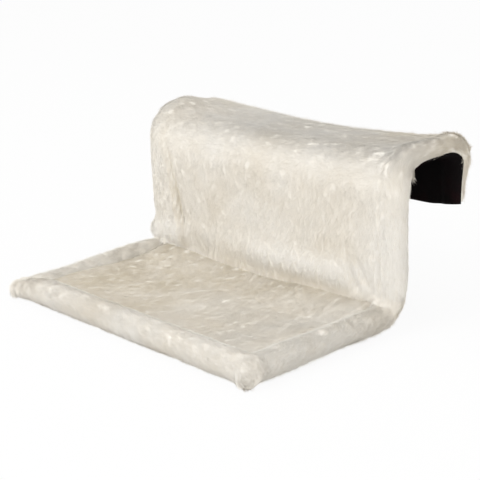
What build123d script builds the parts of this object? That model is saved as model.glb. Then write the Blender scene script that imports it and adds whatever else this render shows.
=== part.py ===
"""A cat bed that hangs on a radiator: a bolted tube frame inside a sewn plush cover.

The seat lies on the floor plane and faces -Y, the back stands up from its rear edge, and a hook
goes over the radiator behind it. The hook's rear frame slides out of the two top arms to suit the
radiator's thickness, and a knurled screw locks each arm. Lengths are millimetres.
"""

import os

from build123d import *

# Driving sizes of the covered bed
bed_width = 470.0
bed_height = 224.0
seat_depth = 272.0
hook_depth = 110.0
hook_drop = 98.0

# Steel frame
tube_diameter = 12.0
tube_wall = 1.0
arm_clearance = 0.1
hook_tube_wall = 1.0
lower_bend_radius = 26.0
upper_bend_radius = 28.0
rear_bend_radius = 22.0
leg_corner_radius = 18.0
arm_insertion = 55.0
mouth_to_rear_bend = 4.5
crossbar_height_in_leg = 8.0
joint_gap = 0.1

# Bolts, threaded inserts and end caps
bolt_diameter = 5.0
bolt_hole_diameter = 5.4
bolt_head_diameter = 9.5
bolt_head_height = 2.75
bolt_socket_size = 3.0
bolt_socket_depth = 1.6
bolt_reach = 13.0
insert_length = 12.0
insert_setback = 1.5
insert_clearance = 0.05
thread_clearance = 0.05
cap_flange_thickness = 2.0
cap_plug_length = 8.0
front_tube_inset = 7.0

# Lock screws
lock_screw_setback = 10.0
lock_head_diameter = 12.0
lock_head_length = 7.0
lock_nut_size = 9.0
lock_nut_length = 5.0
lock_tip_gap = 0.3
lock_head_gap = 0.3
lock_pocket_clearance = 0.4
knurl_count = 18
knurl_radius = 0.6

# Plush sleeves that hold the tubes
seat_sleeve_diameter = 37.0
back_sleeve_diameter = 35.0
arm_sleeve_diameter = 29.0
leg_sleeve_diameter = 26.0
floor_flat_depth = 0.5
front_sleeve_end_radius = 12.0
tube_slack = 0.3
cover_gap = 0.3
head_pocket_clearance = 0.6

# Panels between the sleeves
lining_offset = 9.0
lining_thickness = 2.0
seat_pad_thickness = 7.0
seat_edge_rise = 10.0
seat_middle_rise = 3.0
seat_end_rise = 7.0
back_front_offset = 18.0
back_plush_thickness = 14.0
back_crown = 5.0
back_edge_crown = 0.5
ridge_sag = 9.0
leg_hem_radius = 7.0

# Opening in the underside that lets the cover come off
tape_thickness = 1.2
tape_width = 20.0
tape_side_margin = 12.0
flap_thickness = 1.6
flap_depth = 62.0
flap_hem_depth = 10.0
tape_front_margin = 3.0

# Cuts run this far past the face they open
overrun = 2.0

# Places that follow from the sizes above
tube_radius = tube_diameter / 2
tube_bore_radius = tube_radius - tube_wall
hook_tube_radius = tube_bore_radius - arm_clearance
seat_sleeve_radius = seat_sleeve_diameter / 2
back_sleeve_radius = back_sleeve_diameter / 2
arm_sleeve_radius = arm_sleeve_diameter / 2
leg_sleeve_radius = leg_sleeve_diameter / 2
total_depth = seat_depth + hook_depth
side_x = bed_width / 2 - seat_sleeve_radius
front_face_y = -total_depth / 2
back_rear_y = front_face_y + seat_depth
front_tube_y = front_face_y + seat_sleeve_radius
upright_y = back_rear_y - back_sleeve_radius
leg_y = total_depth / 2 - arm_sleeve_radius
seat_tube_z = seat_sleeve_radius - floor_flat_depth
arm_z = bed_height - arm_sleeve_radius
leg_bottom_z = bed_height - hook_drop
crossbar_z = leg_bottom_z + crossbar_height_in_leg
lower_bend_y = upright_y - lower_bend_radius
lower_bend_z = seat_tube_z + lower_bend_radius
upper_bend_y = upright_y + upper_bend_radius
upper_bend_z = arm_z - upper_bend_radius
rear_bend_y = leg_y - rear_bend_radius
rear_bend_z = arm_z - rear_bend_radius
mouth_y = rear_bend_y - mouth_to_rear_bend
cover_split_y = (mouth_y + rear_bend_y) / 2
slot_clear = cover_gap / 2
mid_bend_share = 0.5**0.5
corner_y = lower_bend_y + lower_bend_radius * mid_bend_share
corner_z = lower_bend_z - lower_bend_radius * mid_bend_share
seat_panel_front_y = front_tube_y + seat_sleeve_radius + cover_gap
seat_lining_z = seat_tube_z - lining_offset
back_lining_y = upright_y + lining_offset
back_front_y = upright_y - back_front_offset
hook_lining_z = arm_z - lining_offset
leg_lining_y = leg_y - lining_offset
bore_radius = tube_radius + tube_slack
hook_bore_radius = hook_tube_radius + tube_slack
head_pocket_radius = bolt_head_diameter / 2 + head_pocket_clearance
lock_y = mouth_y - lock_screw_setback
lock_pocket_radius = lock_head_diameter / 2 + lock_pocket_clearance
front_tube_half = bed_width / 2 - front_tube_inset
seat_panel_half = side_x - seat_sleeve_radius - cover_gap
back_panel_half = side_x - max(back_sleeve_radius, seat_sleeve_radius) - cover_gap
top_panel_half = side_x - arm_sleeve_radius - cover_gap
leg_panel_half = side_x - leg_sleeve_radius - cover_gap

sides = {"left": -1, "right": 1}


def side_plane(x):
    """The plane across the bed at x, with Y to its right and Z up."""
    return Plane(origin=(x, 0, 0), x_dir=(0, 1, 0), z_dir=(1, 0, 0))


def round_bar(path, radius, hole_radius=0.0):
    """Sweeps a disc, or a ring, along a line."""
    with BuildSketch(Plane(origin=path @ 0, z_dir=path % 0)) as section:
        Circle(radius)
        if hole_radius:
            Circle(hole_radius, mode=Mode.SUBTRACT)
    sweep(section.sketch, path=path)


def rod_along_x(radius, x0, x1, y, z, mode=Mode.ADD):
    """A round rod from x0 to x1, at that y and z."""
    with BuildSketch(side_plane(x0)) as section:
        with Locations((y, z)):
            Circle(radius)
    extrude(section.sketch, amount=x1 - x0, mode=mode)


def rod_along_y(radius, y0, y1, x, z, mode=Mode.ADD):
    """A round rod from y0 to y1, at that x and z."""
    with BuildSketch(Plane(origin=(x, y0, z), z_dir=(0, 1, 0))) as section:
        Circle(radius)
    extrude(section.sketch, amount=y1 - y0, mode=mode)


def side_tube_path(x):
    """The bent side tube's centre line: seat arm, upright and top arm."""
    with BuildLine() as line:
        FilletPolyline(
            (x, front_tube_y, seat_tube_z),
            (x, upright_y, seat_tube_z),
            (x, upright_y, arm_z),
            (x, mouth_y, arm_z),
            radius=[lower_bend_radius, upper_bend_radius],
        )
    return line.wire()


def hook_path():
    """The hook frame's centre line, from one arm's inner end to the other's."""
    start_y = mouth_y - arm_insertion
    with BuildLine() as line:
        FilletPolyline(
            (-side_x, start_y, arm_z),
            (-side_x, leg_y, arm_z),
            (-side_x, leg_y, crossbar_z),
            (side_x, leg_y, crossbar_z),
            (side_x, leg_y, arm_z),
            (side_x, start_y, arm_z),
            radius=[rear_bend_radius, leg_corner_radius, leg_corner_radius, rear_bend_radius],
        )
    return line.wire()


# The spaces that the tubes need inside the cover
side_bores = {}
for side, sign in sides.items():
    with BuildPart() as bore:
        round_bar(side_tube_path(sign * side_x), bore_radius)
    side_bores[side] = bore.part

with BuildPart() as hook_bore:
    round_bar(hook_path(), hook_bore_radius)

with BuildPart() as front_bore:
    bore_half = front_tube_half + cap_flange_thickness + tube_slack
    rod_along_x(bore_radius, -bore_half, bore_half, front_tube_y, seat_tube_z)
    for sign in sides.values():
        pocket_end_y = front_tube_y - tube_radius - bolt_head_height - head_pocket_clearance
        rod_along_y(head_pocket_radius, pocket_end_y, front_tube_y, sign * side_x, seat_tube_z)

with BuildPart() as rear_bore:
    pocket_half = side_x + tube_radius + bolt_head_height + head_pocket_clearance
    rod_along_x(head_pocket_radius, -pocket_half, pocket_half, corner_y, corner_z)
    rod_along_x(bore_radius, -side_x, side_x, corner_y, corner_z)

with BuildPart() as lock_bore:
    for sign in sides.values():
        head_end_x = side_x - tube_radius - lock_nut_length - lock_head_gap - lock_head_length
        rod_along_x(
            lock_pocket_radius,
            sign * side_x,
            sign * (head_end_x - lock_pocket_clearance),
            lock_y,
            arm_z,
        )

os.makedirs("parts", exist_ok=True)

# Side tubes: seat arm, upright and top arm in one bent tube
for side, sign in sides.items():
    x = sign * side_x
    with BuildPart() as side_tube:
        round_bar(side_tube_path(x), tube_radius, tube_bore_radius)
        rod_along_x(
            tube_radius + joint_gap,
            x - tube_diameter,
            x + tube_diameter,
            front_tube_y,
            seat_tube_z,
            mode=Mode.SUBTRACT,
        )
        rod_along_x(
            bolt_hole_diameter / 2,
            x - tube_diameter,
            x + tube_diameter,
            corner_y,
            corner_z,
            mode=Mode.SUBTRACT,
        )
        rod_along_x(
            bolt_hole_diameter / 2,
            x,
            x - sign * tube_diameter,
            lock_y,
            arm_z,
            mode=Mode.SUBTRACT,
        )
    side_tube.part.label = f"{side}_side_tube"
    export_step(side_tube.part, f"parts/{side}_side_tube.step")

# Front cross tube, bolted to the side tubes' coped ends
with BuildPart() as front_cross_tube:
    rod_along_x(tube_radius, -front_tube_half, front_tube_half, front_tube_y, seat_tube_z)
    rod_along_x(
        tube_bore_radius,
        -front_tube_half,
        front_tube_half,
        front_tube_y,
        seat_tube_z,
        mode=Mode.SUBTRACT,
    )
    for sign in sides.values():
        rod_along_y(
            bolt_hole_diameter / 2,
            front_tube_y - tube_diameter,
            front_tube_y + tube_diameter,
            sign * side_x,
            seat_tube_z,
            mode=Mode.SUBTRACT,
        )
front_cross_tube.part.label = "front_cross_tube"
export_step(front_cross_tube.part, "parts/front_cross_tube.step")

# Rear cross tube, between the side tubes' lower bends
rear_tube_half = side_x - tube_radius - joint_gap
with BuildPart() as rear_cross_tube:
    rod_along_x(tube_radius, -rear_tube_half, rear_tube_half, corner_y, corner_z)
    rod_along_x(
        tube_bore_radius,
        -rear_tube_half,
        rear_tube_half,
        corner_y,
        corner_z,
        mode=Mode.SUBTRACT,
    )
rear_cross_tube.part.label = "rear_cross_tube"
export_step(rear_cross_tube.part, "parts/rear_cross_tube.step")

# Plastic caps in the front tube's open ends
with BuildPart() as front_tube_caps:
    for sign in sides.values():
        face_x = sign * front_tube_half
        rod_along_x(
            tube_radius,
            face_x,
            face_x + sign * cap_flange_thickness,
            front_tube_y,
            seat_tube_z,
        )
        rod_along_x(
            tube_bore_radius - insert_clearance,
            face_x - sign * cap_plug_length,
            face_x,
            front_tube_y,
            seat_tube_z,
        )
front_tube_caps.part.label = "front_tube_caps"
export_step(front_tube_caps.part, "parts/front_tube_caps.step")

# Threaded inserts in the side tubes' front ends and in the rear cross tube's ends
insert_radius = tube_bore_radius - insert_clearance
insert_hole_radius = bolt_diameter / 2 + thread_clearance
front_insert_y = front_tube_y + tube_radius + insert_setback
rear_insert_x = rear_tube_half - insert_setback

with BuildPart() as side_tube_inserts:
    for sign in sides.values():
        x = sign * side_x
        end_y = front_insert_y + insert_length
        rod_along_y(insert_radius, front_insert_y, end_y, x, seat_tube_z)
        rod_along_y(insert_hole_radius, front_insert_y, end_y, x, seat_tube_z, mode=Mode.SUBTRACT)
side_tube_inserts.part.label = "side_tube_inserts"
export_step(side_tube_inserts.part, "parts/side_tube_inserts.step")

with BuildPart() as cross_tube_inserts:
    for sign in sides.values():
        x0 = sign * rear_insert_x
        x1 = sign * (rear_insert_x - insert_length)
        rod_along_x(insert_radius, x0, x1, corner_y, corner_z)
        rod_along_x(insert_hole_radius, x0, x1, corner_y, corner_z, mode=Mode.SUBTRACT)
cross_tube_inserts.part.label = "cross_tube_inserts"
export_step(cross_tube_inserts.part, "parts/cross_tube_inserts.step")


def button_bolt(head_plane):
    """A round-headed socket bolt whose head stands on the plane and whose shank runs below it."""
    with BuildSketch(head_plane) as head:
        Circle(bolt_head_diameter / 2)
    extrude(head.sketch, amount=bolt_head_height)
    with BuildSketch(head_plane) as shank:
        Circle(bolt_diameter / 2)
    extrude(shank.sketch, amount=-(tube_diameter + joint_gap + bolt_reach))
    with BuildSketch(head_plane.offset(bolt_head_height)) as socket:
        RegularPolygon(bolt_socket_size / 2, 6, major_radius=False)
    extrude(socket.sketch, amount=-bolt_socket_depth, mode=Mode.SUBTRACT)


with BuildPart() as front_bolts:
    for sign in sides.values():
        head_y = front_tube_y - tube_radius
        button_bolt(Plane(origin=(sign * side_x, head_y, seat_tube_z), z_dir=(0, -1, 0)))
front_bolts.part.label = "front_bolts"
export_step(front_bolts.part, "parts/front_bolts.step")

with BuildPart() as rear_bolts:
    for sign in sides.values():
        head_x = sign * (side_x + tube_radius)
        button_bolt(Plane(origin=(head_x, corner_y, corner_z), z_dir=(sign, 0, 0)))
rear_bolts.part.label = "rear_bolts"
export_step(rear_bolts.part, "parts/rear_bolts.step")

# Nuts welded to the inner side of the top arms, for the lock screws
with BuildPart() as lock_nuts:
    for sign in sides.values():
        nut_plane = Plane(origin=(sign * side_x, lock_y, arm_z), z_dir=(-sign, 0, 0))
        with BuildSketch(nut_plane):
            RegularPolygon(lock_nut_size / 2, 6, major_radius=False)
            Circle(insert_hole_radius, mode=Mode.SUBTRACT)
        extrude(amount=tube_radius + lock_nut_length)
        rod_along_y(
            tube_radius + insert_clearance,
            lock_y - lock_nut_size,
            lock_y + lock_nut_size,
            sign * side_x,
            arm_z,
            mode=Mode.SUBTRACT,
        )
lock_nuts.part.label = "lock_nuts"
export_step(lock_nuts.part, "parts/lock_nuts.step")

# Knurled lock screws, each of which bears on one arm of the hook frame
for side, sign in sides.items():
    tip_x = side_x - hook_tube_radius - lock_tip_gap
    seat_x = side_x - tube_radius - lock_nut_length - lock_head_gap
    with BuildPart() as lock_screw:
        rod_along_x(bolt_diameter / 2, sign * tip_x, sign * seat_x, lock_y, arm_z)
        rod_along_x(
            lock_head_diameter / 2,
            sign * seat_x,
            sign * (seat_x - lock_head_length),
            lock_y,
            arm_z,
        )
        with BuildSketch(Plane(origin=(sign * seat_x, lock_y, arm_z), z_dir=(-sign, 0, 0))):
            with PolarLocations(lock_head_diameter / 2, knurl_count):
                Circle(knurl_radius)
        extrude(amount=lock_head_length, mode=Mode.SUBTRACT)
    lock_screw.part.label = f"{side}_lock_screw"
    export_step(lock_screw.part, f"parts/{side}_lock_screw.step")

# Hook frame: both sliding arms, the rear legs and the cross bar in one bent tube
with BuildPart() as hook_frame:
    round_bar(hook_path(), hook_tube_radius, hook_tube_radius - hook_tube_wall)
hook_frame.part.label = "hook_frame"
export_step(hook_frame.part, "parts/hook_frame.step")

# Front sleeve of the cover, round the front cross tube and closed at both ends
with BuildPart() as front_sleeve:
    rod_along_x(seat_sleeve_radius, -bed_width / 2, bed_width / 2, front_tube_y, seat_tube_z)
    end_edges = front_sleeve.edges().filter_by(GeomType.CIRCLE)
    fillet(end_edges, radius=min(front_sleeve_end_radius, seat_sleeve_radius - cover_gap))
    split(bisect_by=Plane.XY, keep=Keep.TOP)
    add(front_bore.part, mode=Mode.SUBTRACT)
    for side in sides:
        add(side_bores[side], mode=Mode.SUBTRACT)
front_sleeve.part.label = "front_sleeve"
export_step(front_sleeve.part, "parts/front_sleeve.step")

# Side sleeves of the seat, which meet the back's sleeves in a mitre half way round the bend
for side, sign in sides.items():
    x = sign * side_x
    with BuildPart() as seat_sleeve:
        with BuildLine(side_plane(x)) as line:
            Line((front_tube_y, seat_tube_z), (lower_bend_y, seat_tube_z))
            CenterArc((lower_bend_y, lower_bend_z), lower_bend_radius, -90, 45)
        round_bar(line.wire(), seat_sleeve_radius)
        split(bisect_by=Plane.XY, keep=Keep.TOP)
        rod_along_x(
            seat_sleeve_radius + cover_gap,
            x - seat_sleeve_diameter,
            x + seat_sleeve_diameter,
            front_tube_y,
            seat_tube_z,
            mode=Mode.SUBTRACT,
        )
        add(side_bores[side], mode=Mode.SUBTRACT)
        add(rear_bore.part, mode=Mode.SUBTRACT)
    seat_sleeve.part.label = f"{side}_seat_sleeve"
    export_step(seat_sleeve.part, f"parts/{side}_seat_sleeve.step")

    with BuildPart() as back_sleeve:
        with BuildLine(side_plane(x)) as line:
            CenterArc((lower_bend_y, lower_bend_z), lower_bend_radius, -45, 45)
            Line((upright_y, lower_bend_z), (upright_y, upper_bend_z))
        round_bar(line.wire(), back_sleeve_radius)
        add(side_bores[side], mode=Mode.SUBTRACT)
        add(rear_bore.part, mode=Mode.SUBTRACT)
    back_sleeve.part.label = f"{side}_back_sleeve"
    export_step(back_sleeve.part, f"parts/{side}_back_sleeve.step")

    with BuildPart() as arm_sleeve:
        with BuildLine(side_plane(x)) as line:
            CenterArc((upper_bend_y, upper_bend_z), upper_bend_radius, 180, -90)
            Line((upper_bend_y, arm_z), (cover_split_y - slot_clear, arm_z))
        round_bar(line.wire(), arm_sleeve_radius)
        add(side_bores[side], mode=Mode.SUBTRACT)
        add(hook_bore.part, mode=Mode.SUBTRACT)
        add(lock_bore.part, mode=Mode.SUBTRACT)
    arm_sleeve.part.label = f"{side}_arm_sleeve"
    export_step(arm_sleeve.part, f"parts/{side}_arm_sleeve.step")

    with BuildPart() as leg_sleeve:
        with BuildLine(side_plane(x)) as line:
            Line((cover_split_y + slot_clear, arm_z), (rear_bend_y, arm_z))
            CenterArc((rear_bend_y, rear_bend_z), rear_bend_radius, 90, -90)
            Line((leg_y, rear_bend_z), (leg_y, leg_bottom_z))
        round_bar(line.wire(), leg_sleeve_radius)
        add(hook_bore.part, mode=Mode.SUBTRACT)
    leg_sleeve.part.label = f"{side}_leg_sleeve"
    export_step(leg_sleeve.part, f"parts/{side}_leg_sleeve.step")

# Seat panel: dark lining below, wadding, and plush that sinks towards the middle
seat_pad_z = seat_lining_z + lining_thickness
seat_plush_z = seat_pad_z + seat_pad_thickness
seat_panel_rear_y = back_front_y - cover_gap


def seat_slab(z0, thickness, y1):
    """A flat layer of the seat panel."""
    with BuildSketch(Plane.XY.offset(z0)) as outline:
        with Locations((0, (seat_panel_front_y + y1) / 2)):
            Rectangle(2 * seat_panel_half, y1 - seat_panel_front_y)
    extrude(outline.sketch, amount=thickness)


with BuildPart() as seat_lining:
    seat_slab(seat_lining_z, lining_thickness, lower_bend_y)
seat_lining.part.label = "seat_lining"
export_step(seat_lining.part, "parts/seat_lining.step")

with BuildPart() as seat_pad:
    seat_slab(seat_pad_z, seat_pad_thickness, lower_bend_y)
seat_pad.part.label = "seat_pad"
export_step(seat_pad.part, "parts/seat_pad.step")


def seat_section(y, middle_rise):
    """The plush layer's outline across the seat at y: flat below, hollow above."""
    section_plane = Plane(origin=(0, y, seat_plush_z), x_dir=(1, 0, 0), z_dir=(0, -1, 0))
    with BuildSketch(section_plane) as section:
        with BuildLine():
            Polyline(
                (-seat_panel_half, seat_edge_rise),
                (-seat_panel_half, 0),
                (seat_panel_half, 0),
                (seat_panel_half, seat_edge_rise),
            )
            ThreePointArc(
                (seat_panel_half, seat_edge_rise),
                (0, middle_rise),
                (-seat_panel_half, seat_edge_rise),
            )
        make_face()
    return section.sketch


seat_middle_y = (seat_panel_front_y + seat_panel_rear_y) / 2
with BuildPart() as seat_plush:
    loft(
        [
            seat_section(seat_panel_front_y, seat_end_rise),
            seat_section(seat_middle_y, seat_middle_rise),
            seat_section(seat_panel_rear_y, seat_end_rise),
        ]
    )
seat_plush.part.label = "seat_plush"
export_step(seat_plush.part, "parts/seat_plush.step")

# Back panel: plush in front, wadding, and dark lining that turns under at the bottom
back_plush_rear_y = back_front_y + back_plush_thickness
back_pad_rear_y = back_lining_y - lining_thickness
lining_bend_outer = lower_bend_radius + lining_offset
lining_bend_inner = lining_bend_outer - lining_thickness


def bend_height(y):
    """Where the lining's inner face lies, round the lower bend, at y."""
    return lower_bend_z - (lining_bend_inner**2 - (y - lower_bend_y) ** 2) ** 0.5


def bend_point(y0, y1):
    """A point of that face between y0 and y1."""
    y = (y0 + y1) / 2
    return (y, bend_height(y))


with BuildPart() as back_pad:
    with BuildSketch(side_plane(-back_panel_half)):
        with BuildLine():
            ThreePointArc(
                (back_plush_rear_y, bend_height(back_plush_rear_y)),
                bend_point(back_plush_rear_y, back_pad_rear_y),
                (back_pad_rear_y, lower_bend_z),
            )
            Polyline(
                (back_pad_rear_y, lower_bend_z),
                (back_pad_rear_y, upper_bend_z),
                (back_plush_rear_y, upper_bend_z),
                (back_plush_rear_y, bend_height(back_plush_rear_y)),
            )
        make_face()
    extrude(amount=2 * back_panel_half)
    add(rear_bore.part, mode=Mode.SUBTRACT)
back_pad.part.label = "back_pad"
export_step(back_pad.part, "parts/back_pad.step")

with BuildPart() as back_lining:
    with BuildSketch(side_plane(-back_panel_half)):
        with BuildLine():
            CenterArc((lower_bend_y, lower_bend_z), lining_bend_outer, -90, 90)
            Polyline(
                (back_lining_y, lower_bend_z),
                (back_lining_y, upper_bend_z),
                (back_pad_rear_y, upper_bend_z),
                (back_pad_rear_y, lower_bend_z),
            )
            CenterArc((lower_bend_y, lower_bend_z), lining_bend_inner, 0, -90)
            Line(
                (lower_bend_y, lower_bend_z - lining_bend_inner),
                (lower_bend_y, lower_bend_z - lining_bend_outer),
            )
        make_face()
    extrude(amount=2 * back_panel_half)
back_lining.part.label = "back_lining"
export_step(back_lining.part, "parts/back_lining.step")


def back_section(z, crown):
    """The back plush's outline at height z, seen from above, with its front swelling by crown."""
    with BuildSketch(Plane.XY.offset(z)) as section:
        with BuildLine():
            Polyline(
                (-back_panel_half, back_front_y),
                (-back_panel_half, back_plush_rear_y),
                (back_panel_half, back_plush_rear_y),
                (back_panel_half, back_front_y),
            )
            ThreePointArc(
                (back_panel_half, back_front_y),
                (0, back_front_y - crown),
                (-back_panel_half, back_front_y),
            )
        make_face()
    return section.sketch


back_plush_bottom_z = seat_plush_z + seat_edge_rise + cover_gap
with BuildPart() as back_plush:
    with BuildSketch(side_plane(-back_panel_half)):
        with BuildLine():
            ThreePointArc(
                (back_front_y, bend_height(back_front_y)),
                bend_point(back_front_y, back_plush_rear_y),
                (back_plush_rear_y, bend_height(back_plush_rear_y)),
            )
            Polyline(
                (back_plush_rear_y, bend_height(back_plush_rear_y)),
                (back_plush_rear_y, back_plush_bottom_z),
                (back_front_y, back_plush_bottom_z),
                (back_front_y, bend_height(back_front_y)),
            )
        make_face()
    extrude(amount=2 * back_panel_half)
    loft(
        [
            back_section(back_plush_bottom_z, back_edge_crown),
            back_section((back_plush_bottom_z + upper_bend_z) / 2, back_crown),
            back_section(upper_bend_z, back_edge_crown),
        ]
    )
    add(rear_bore.part, mode=Mode.SUBTRACT)
back_plush.part.label = "back_plush"
export_step(back_plush.part, "parts/back_plush.step")

# The ridge hangs a little between the two arms: this round body takes that hollow out of the plush
ridge_radius = (top_panel_half**2 + ridge_sag**2) / (2 * ridge_sag)
with BuildPart() as ridge_hollow:
    rod_along_y(
        ridge_radius,
        back_front_y,
        total_depth / 2 + overrun,
        0,
        bed_height - ridge_sag + ridge_radius,
    )

# Hook top: plush over the two arms, from the back's front face to the cover's split
with BuildPart() as hook_top_plush:
    with BuildSketch(side_plane(-top_panel_half)):
        with BuildLine():
            Line((back_pad_rear_y, upper_bend_z), (back_front_y, upper_bend_z))
            EllipticalCenterArc(
                (upper_bend_y, upper_bend_z),
                upper_bend_y - back_front_y,
                bed_height - upper_bend_z,
                start_angle=90,
                arc_size=90,
            )
            Polyline(
                (upper_bend_y, bed_height),
                (cover_split_y - slot_clear, bed_height),
                (cover_split_y - slot_clear, hook_lining_z + lining_thickness),
                (upper_bend_y, hook_lining_z + lining_thickness),
            )
            CenterArc(
                (upper_bend_y, upper_bend_z),
                upper_bend_radius - lining_offset + lining_thickness,
                90,
                90,
            )
        make_face()
    extrude(amount=2 * top_panel_half)
    add(ridge_hollow.part, mode=Mode.SUBTRACT)
    add(lock_bore.part, mode=Mode.SUBTRACT)
hook_top_plush.part.label = "hook_top_plush"
export_step(hook_top_plush.part, "parts/hook_top_plush.step")

with BuildPart() as hook_top_lining:
    with BuildSketch(side_plane(-top_panel_half)):
        with BuildLine():
            Line((back_pad_rear_y, upper_bend_z), (back_lining_y, upper_bend_z))
            CenterArc(
                (upper_bend_y, upper_bend_z),
                upper_bend_radius - lining_offset,
                180,
                -90,
            )
            Polyline(
                (upper_bend_y, hook_lining_z),
                (cover_split_y - slot_clear, hook_lining_z),
                (cover_split_y - slot_clear, hook_lining_z + lining_thickness),
                (upper_bend_y, hook_lining_z + lining_thickness),
            )
            CenterArc(
                (upper_bend_y, upper_bend_z),
                upper_bend_radius - lining_offset + lining_thickness,
                90,
                90,
            )
        make_face()
    extrude(amount=2 * top_panel_half)
hook_top_lining.part.label = "hook_top_lining"
export_step(hook_top_lining.part, "parts/hook_top_lining.step")

# Hook leg: plush and lining that go down behind the radiator with the hook frame
leg_plush_y = leg_lining_y + lining_thickness
leg_rear_y = total_depth / 2
leg_outer_bend = rear_bend_radius + arm_sleeve_radius
leg_inner_bend = rear_bend_radius - lining_offset + lining_thickness

with BuildPart() as hook_leg_plush:
    with BuildSketch(side_plane(-leg_panel_half)):
        with BuildLine():
            Line((cover_split_y + slot_clear, bed_height), (rear_bend_y, bed_height))
            CenterArc((rear_bend_y, rear_bend_z), leg_outer_bend, 90, -90)
            Line((leg_rear_y, rear_bend_z), (leg_rear_y, leg_bottom_z + leg_hem_radius))
            CenterArc(
                (leg_rear_y - leg_hem_radius, leg_bottom_z + leg_hem_radius),
                leg_hem_radius,
                0,
                -90,
            )
            Polyline(
                (leg_rear_y - leg_hem_radius, leg_bottom_z),
                (leg_plush_y, leg_bottom_z),
                (leg_plush_y, rear_bend_z),
            )
            CenterArc((rear_bend_y, rear_bend_z), leg_inner_bend, 0, 90)
            Polyline(
                (rear_bend_y, rear_bend_z + leg_inner_bend),
                (cover_split_y + slot_clear, rear_bend_z + leg_inner_bend),
                (cover_split_y + slot_clear, bed_height),
            )
        make_face()
    extrude(amount=2 * leg_panel_half)
    add(ridge_hollow.part, mode=Mode.SUBTRACT)
    add(hook_bore.part, mode=Mode.SUBTRACT)
hook_leg_plush.part.label = "hook_leg_plush"
export_step(hook_leg_plush.part, "parts/hook_leg_plush.step")

with BuildPart() as hook_leg_lining:
    with BuildSketch(side_plane(-leg_panel_half)):
        with BuildLine():
            Line(
                (cover_split_y + slot_clear, hook_lining_z),
                (rear_bend_y, hook_lining_z),
            )
            CenterArc(
                (rear_bend_y, rear_bend_z),
                rear_bend_radius - lining_offset,
                90,
                -90,
            )
            Polyline(
                (leg_lining_y, rear_bend_z),
                (leg_lining_y, leg_bottom_z),
                (leg_plush_y, leg_bottom_z),
                (leg_plush_y, rear_bend_z),
            )
            CenterArc((rear_bend_y, rear_bend_z), leg_inner_bend, 0, 90)
            Polyline(
                (rear_bend_y, hook_lining_z + lining_thickness),
                (cover_split_y + slot_clear, hook_lining_z + lining_thickness),
                (cover_split_y + slot_clear, hook_lining_z),
            )
        make_face()
    extrude(amount=2 * leg_panel_half)
hook_leg_lining.part.label = "hook_leg_lining"
export_step(hook_leg_lining.part, "parts/hook_leg_lining.step")

# Closure under the seat: a flap sewn to the lining's rear edge, held by hook-and-loop tape
tape_half = seat_panel_half - tape_side_margin
flap_front_y = lower_bend_y - flap_depth
tape_y = flap_front_y + tape_front_margin + tape_width / 2
loop_tape_z = seat_lining_z - tape_thickness
hook_tape_z = loop_tape_z - tape_thickness
flap_z = hook_tape_z - flap_thickness


def tape(z0):
    """One strip of tape across the underside, whose lower face is at z0."""
    with BuildSketch(Plane.XY.offset(z0)) as outline:
        with Locations((0, tape_y)):
            Rectangle(2 * tape_half, tape_width)
    extrude(outline.sketch, amount=tape_thickness)


with BuildPart() as closure_loop_tape:
    tape(loop_tape_z)
closure_loop_tape.part.label = "closure_loop_tape"
export_step(closure_loop_tape.part, "parts/closure_loop_tape.step")

with BuildPart() as closure_hook_tape:
    tape(hook_tape_z)
closure_hook_tape.part.label = "closure_hook_tape"
export_step(closure_hook_tape.part, "parts/closure_hook_tape.step")

with BuildPart() as closure_flap:
    with BuildSketch(side_plane(-seat_panel_half)):
        with BuildLine():
            Polyline(
                (flap_front_y, flap_z),
                (lower_bend_y, flap_z),
                (lower_bend_y, seat_lining_z),
                (lower_bend_y - flap_hem_depth, seat_lining_z),
                (lower_bend_y - flap_hem_depth, hook_tape_z),
                (flap_front_y, hook_tape_z),
                close=True,
            )
        make_face()
    extrude(amount=2 * seat_panel_half)
closure_flap.part.label = "closure_flap"
export_step(closure_flap.part, "parts/closure_flap.step")
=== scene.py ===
"""Dresses the radiator cat bed: plush skins with a real pile, dark lining, coated frame and studio.

Lengths are metres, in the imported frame: X across the bed, Y from the seat towards the radiator,
Z up. Every soft form is worked out from the boxes of the frame's own pieces.
"""

import math
from collections import namedtuple

import bmesh
import bpy
import numpy as np
from bpy.props import FloatProperty, FloatVectorProperty, IntProperty, PointerProperty
from mathutils import Matrix, Vector, noise


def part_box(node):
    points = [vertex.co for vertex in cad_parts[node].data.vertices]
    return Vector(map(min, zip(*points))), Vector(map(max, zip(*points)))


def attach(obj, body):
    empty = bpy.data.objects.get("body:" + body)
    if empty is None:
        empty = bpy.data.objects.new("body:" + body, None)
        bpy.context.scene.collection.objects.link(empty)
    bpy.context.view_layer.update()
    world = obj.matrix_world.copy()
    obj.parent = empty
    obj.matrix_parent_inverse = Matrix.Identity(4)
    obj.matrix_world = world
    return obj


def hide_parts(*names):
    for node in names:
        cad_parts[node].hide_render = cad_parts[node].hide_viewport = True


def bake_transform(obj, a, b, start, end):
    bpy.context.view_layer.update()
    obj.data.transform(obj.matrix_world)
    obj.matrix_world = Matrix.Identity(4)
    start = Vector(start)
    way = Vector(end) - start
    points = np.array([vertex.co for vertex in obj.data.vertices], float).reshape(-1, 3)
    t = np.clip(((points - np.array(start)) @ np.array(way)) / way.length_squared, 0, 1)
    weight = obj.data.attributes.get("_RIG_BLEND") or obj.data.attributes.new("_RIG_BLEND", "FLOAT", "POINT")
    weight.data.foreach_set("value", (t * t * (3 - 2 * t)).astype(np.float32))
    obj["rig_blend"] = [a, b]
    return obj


bl_info = {
    "name": "Radiator cat bed",
    "version": (1, 0, 0),
    "blender": (4, 5, 0),
    "location": "3D View > Sidebar > Cat bed",
    "description": "Builds the plush cover, lining and stage of a radiator cat bed round its frame",
    "category": "Add Mesh",
}

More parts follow.
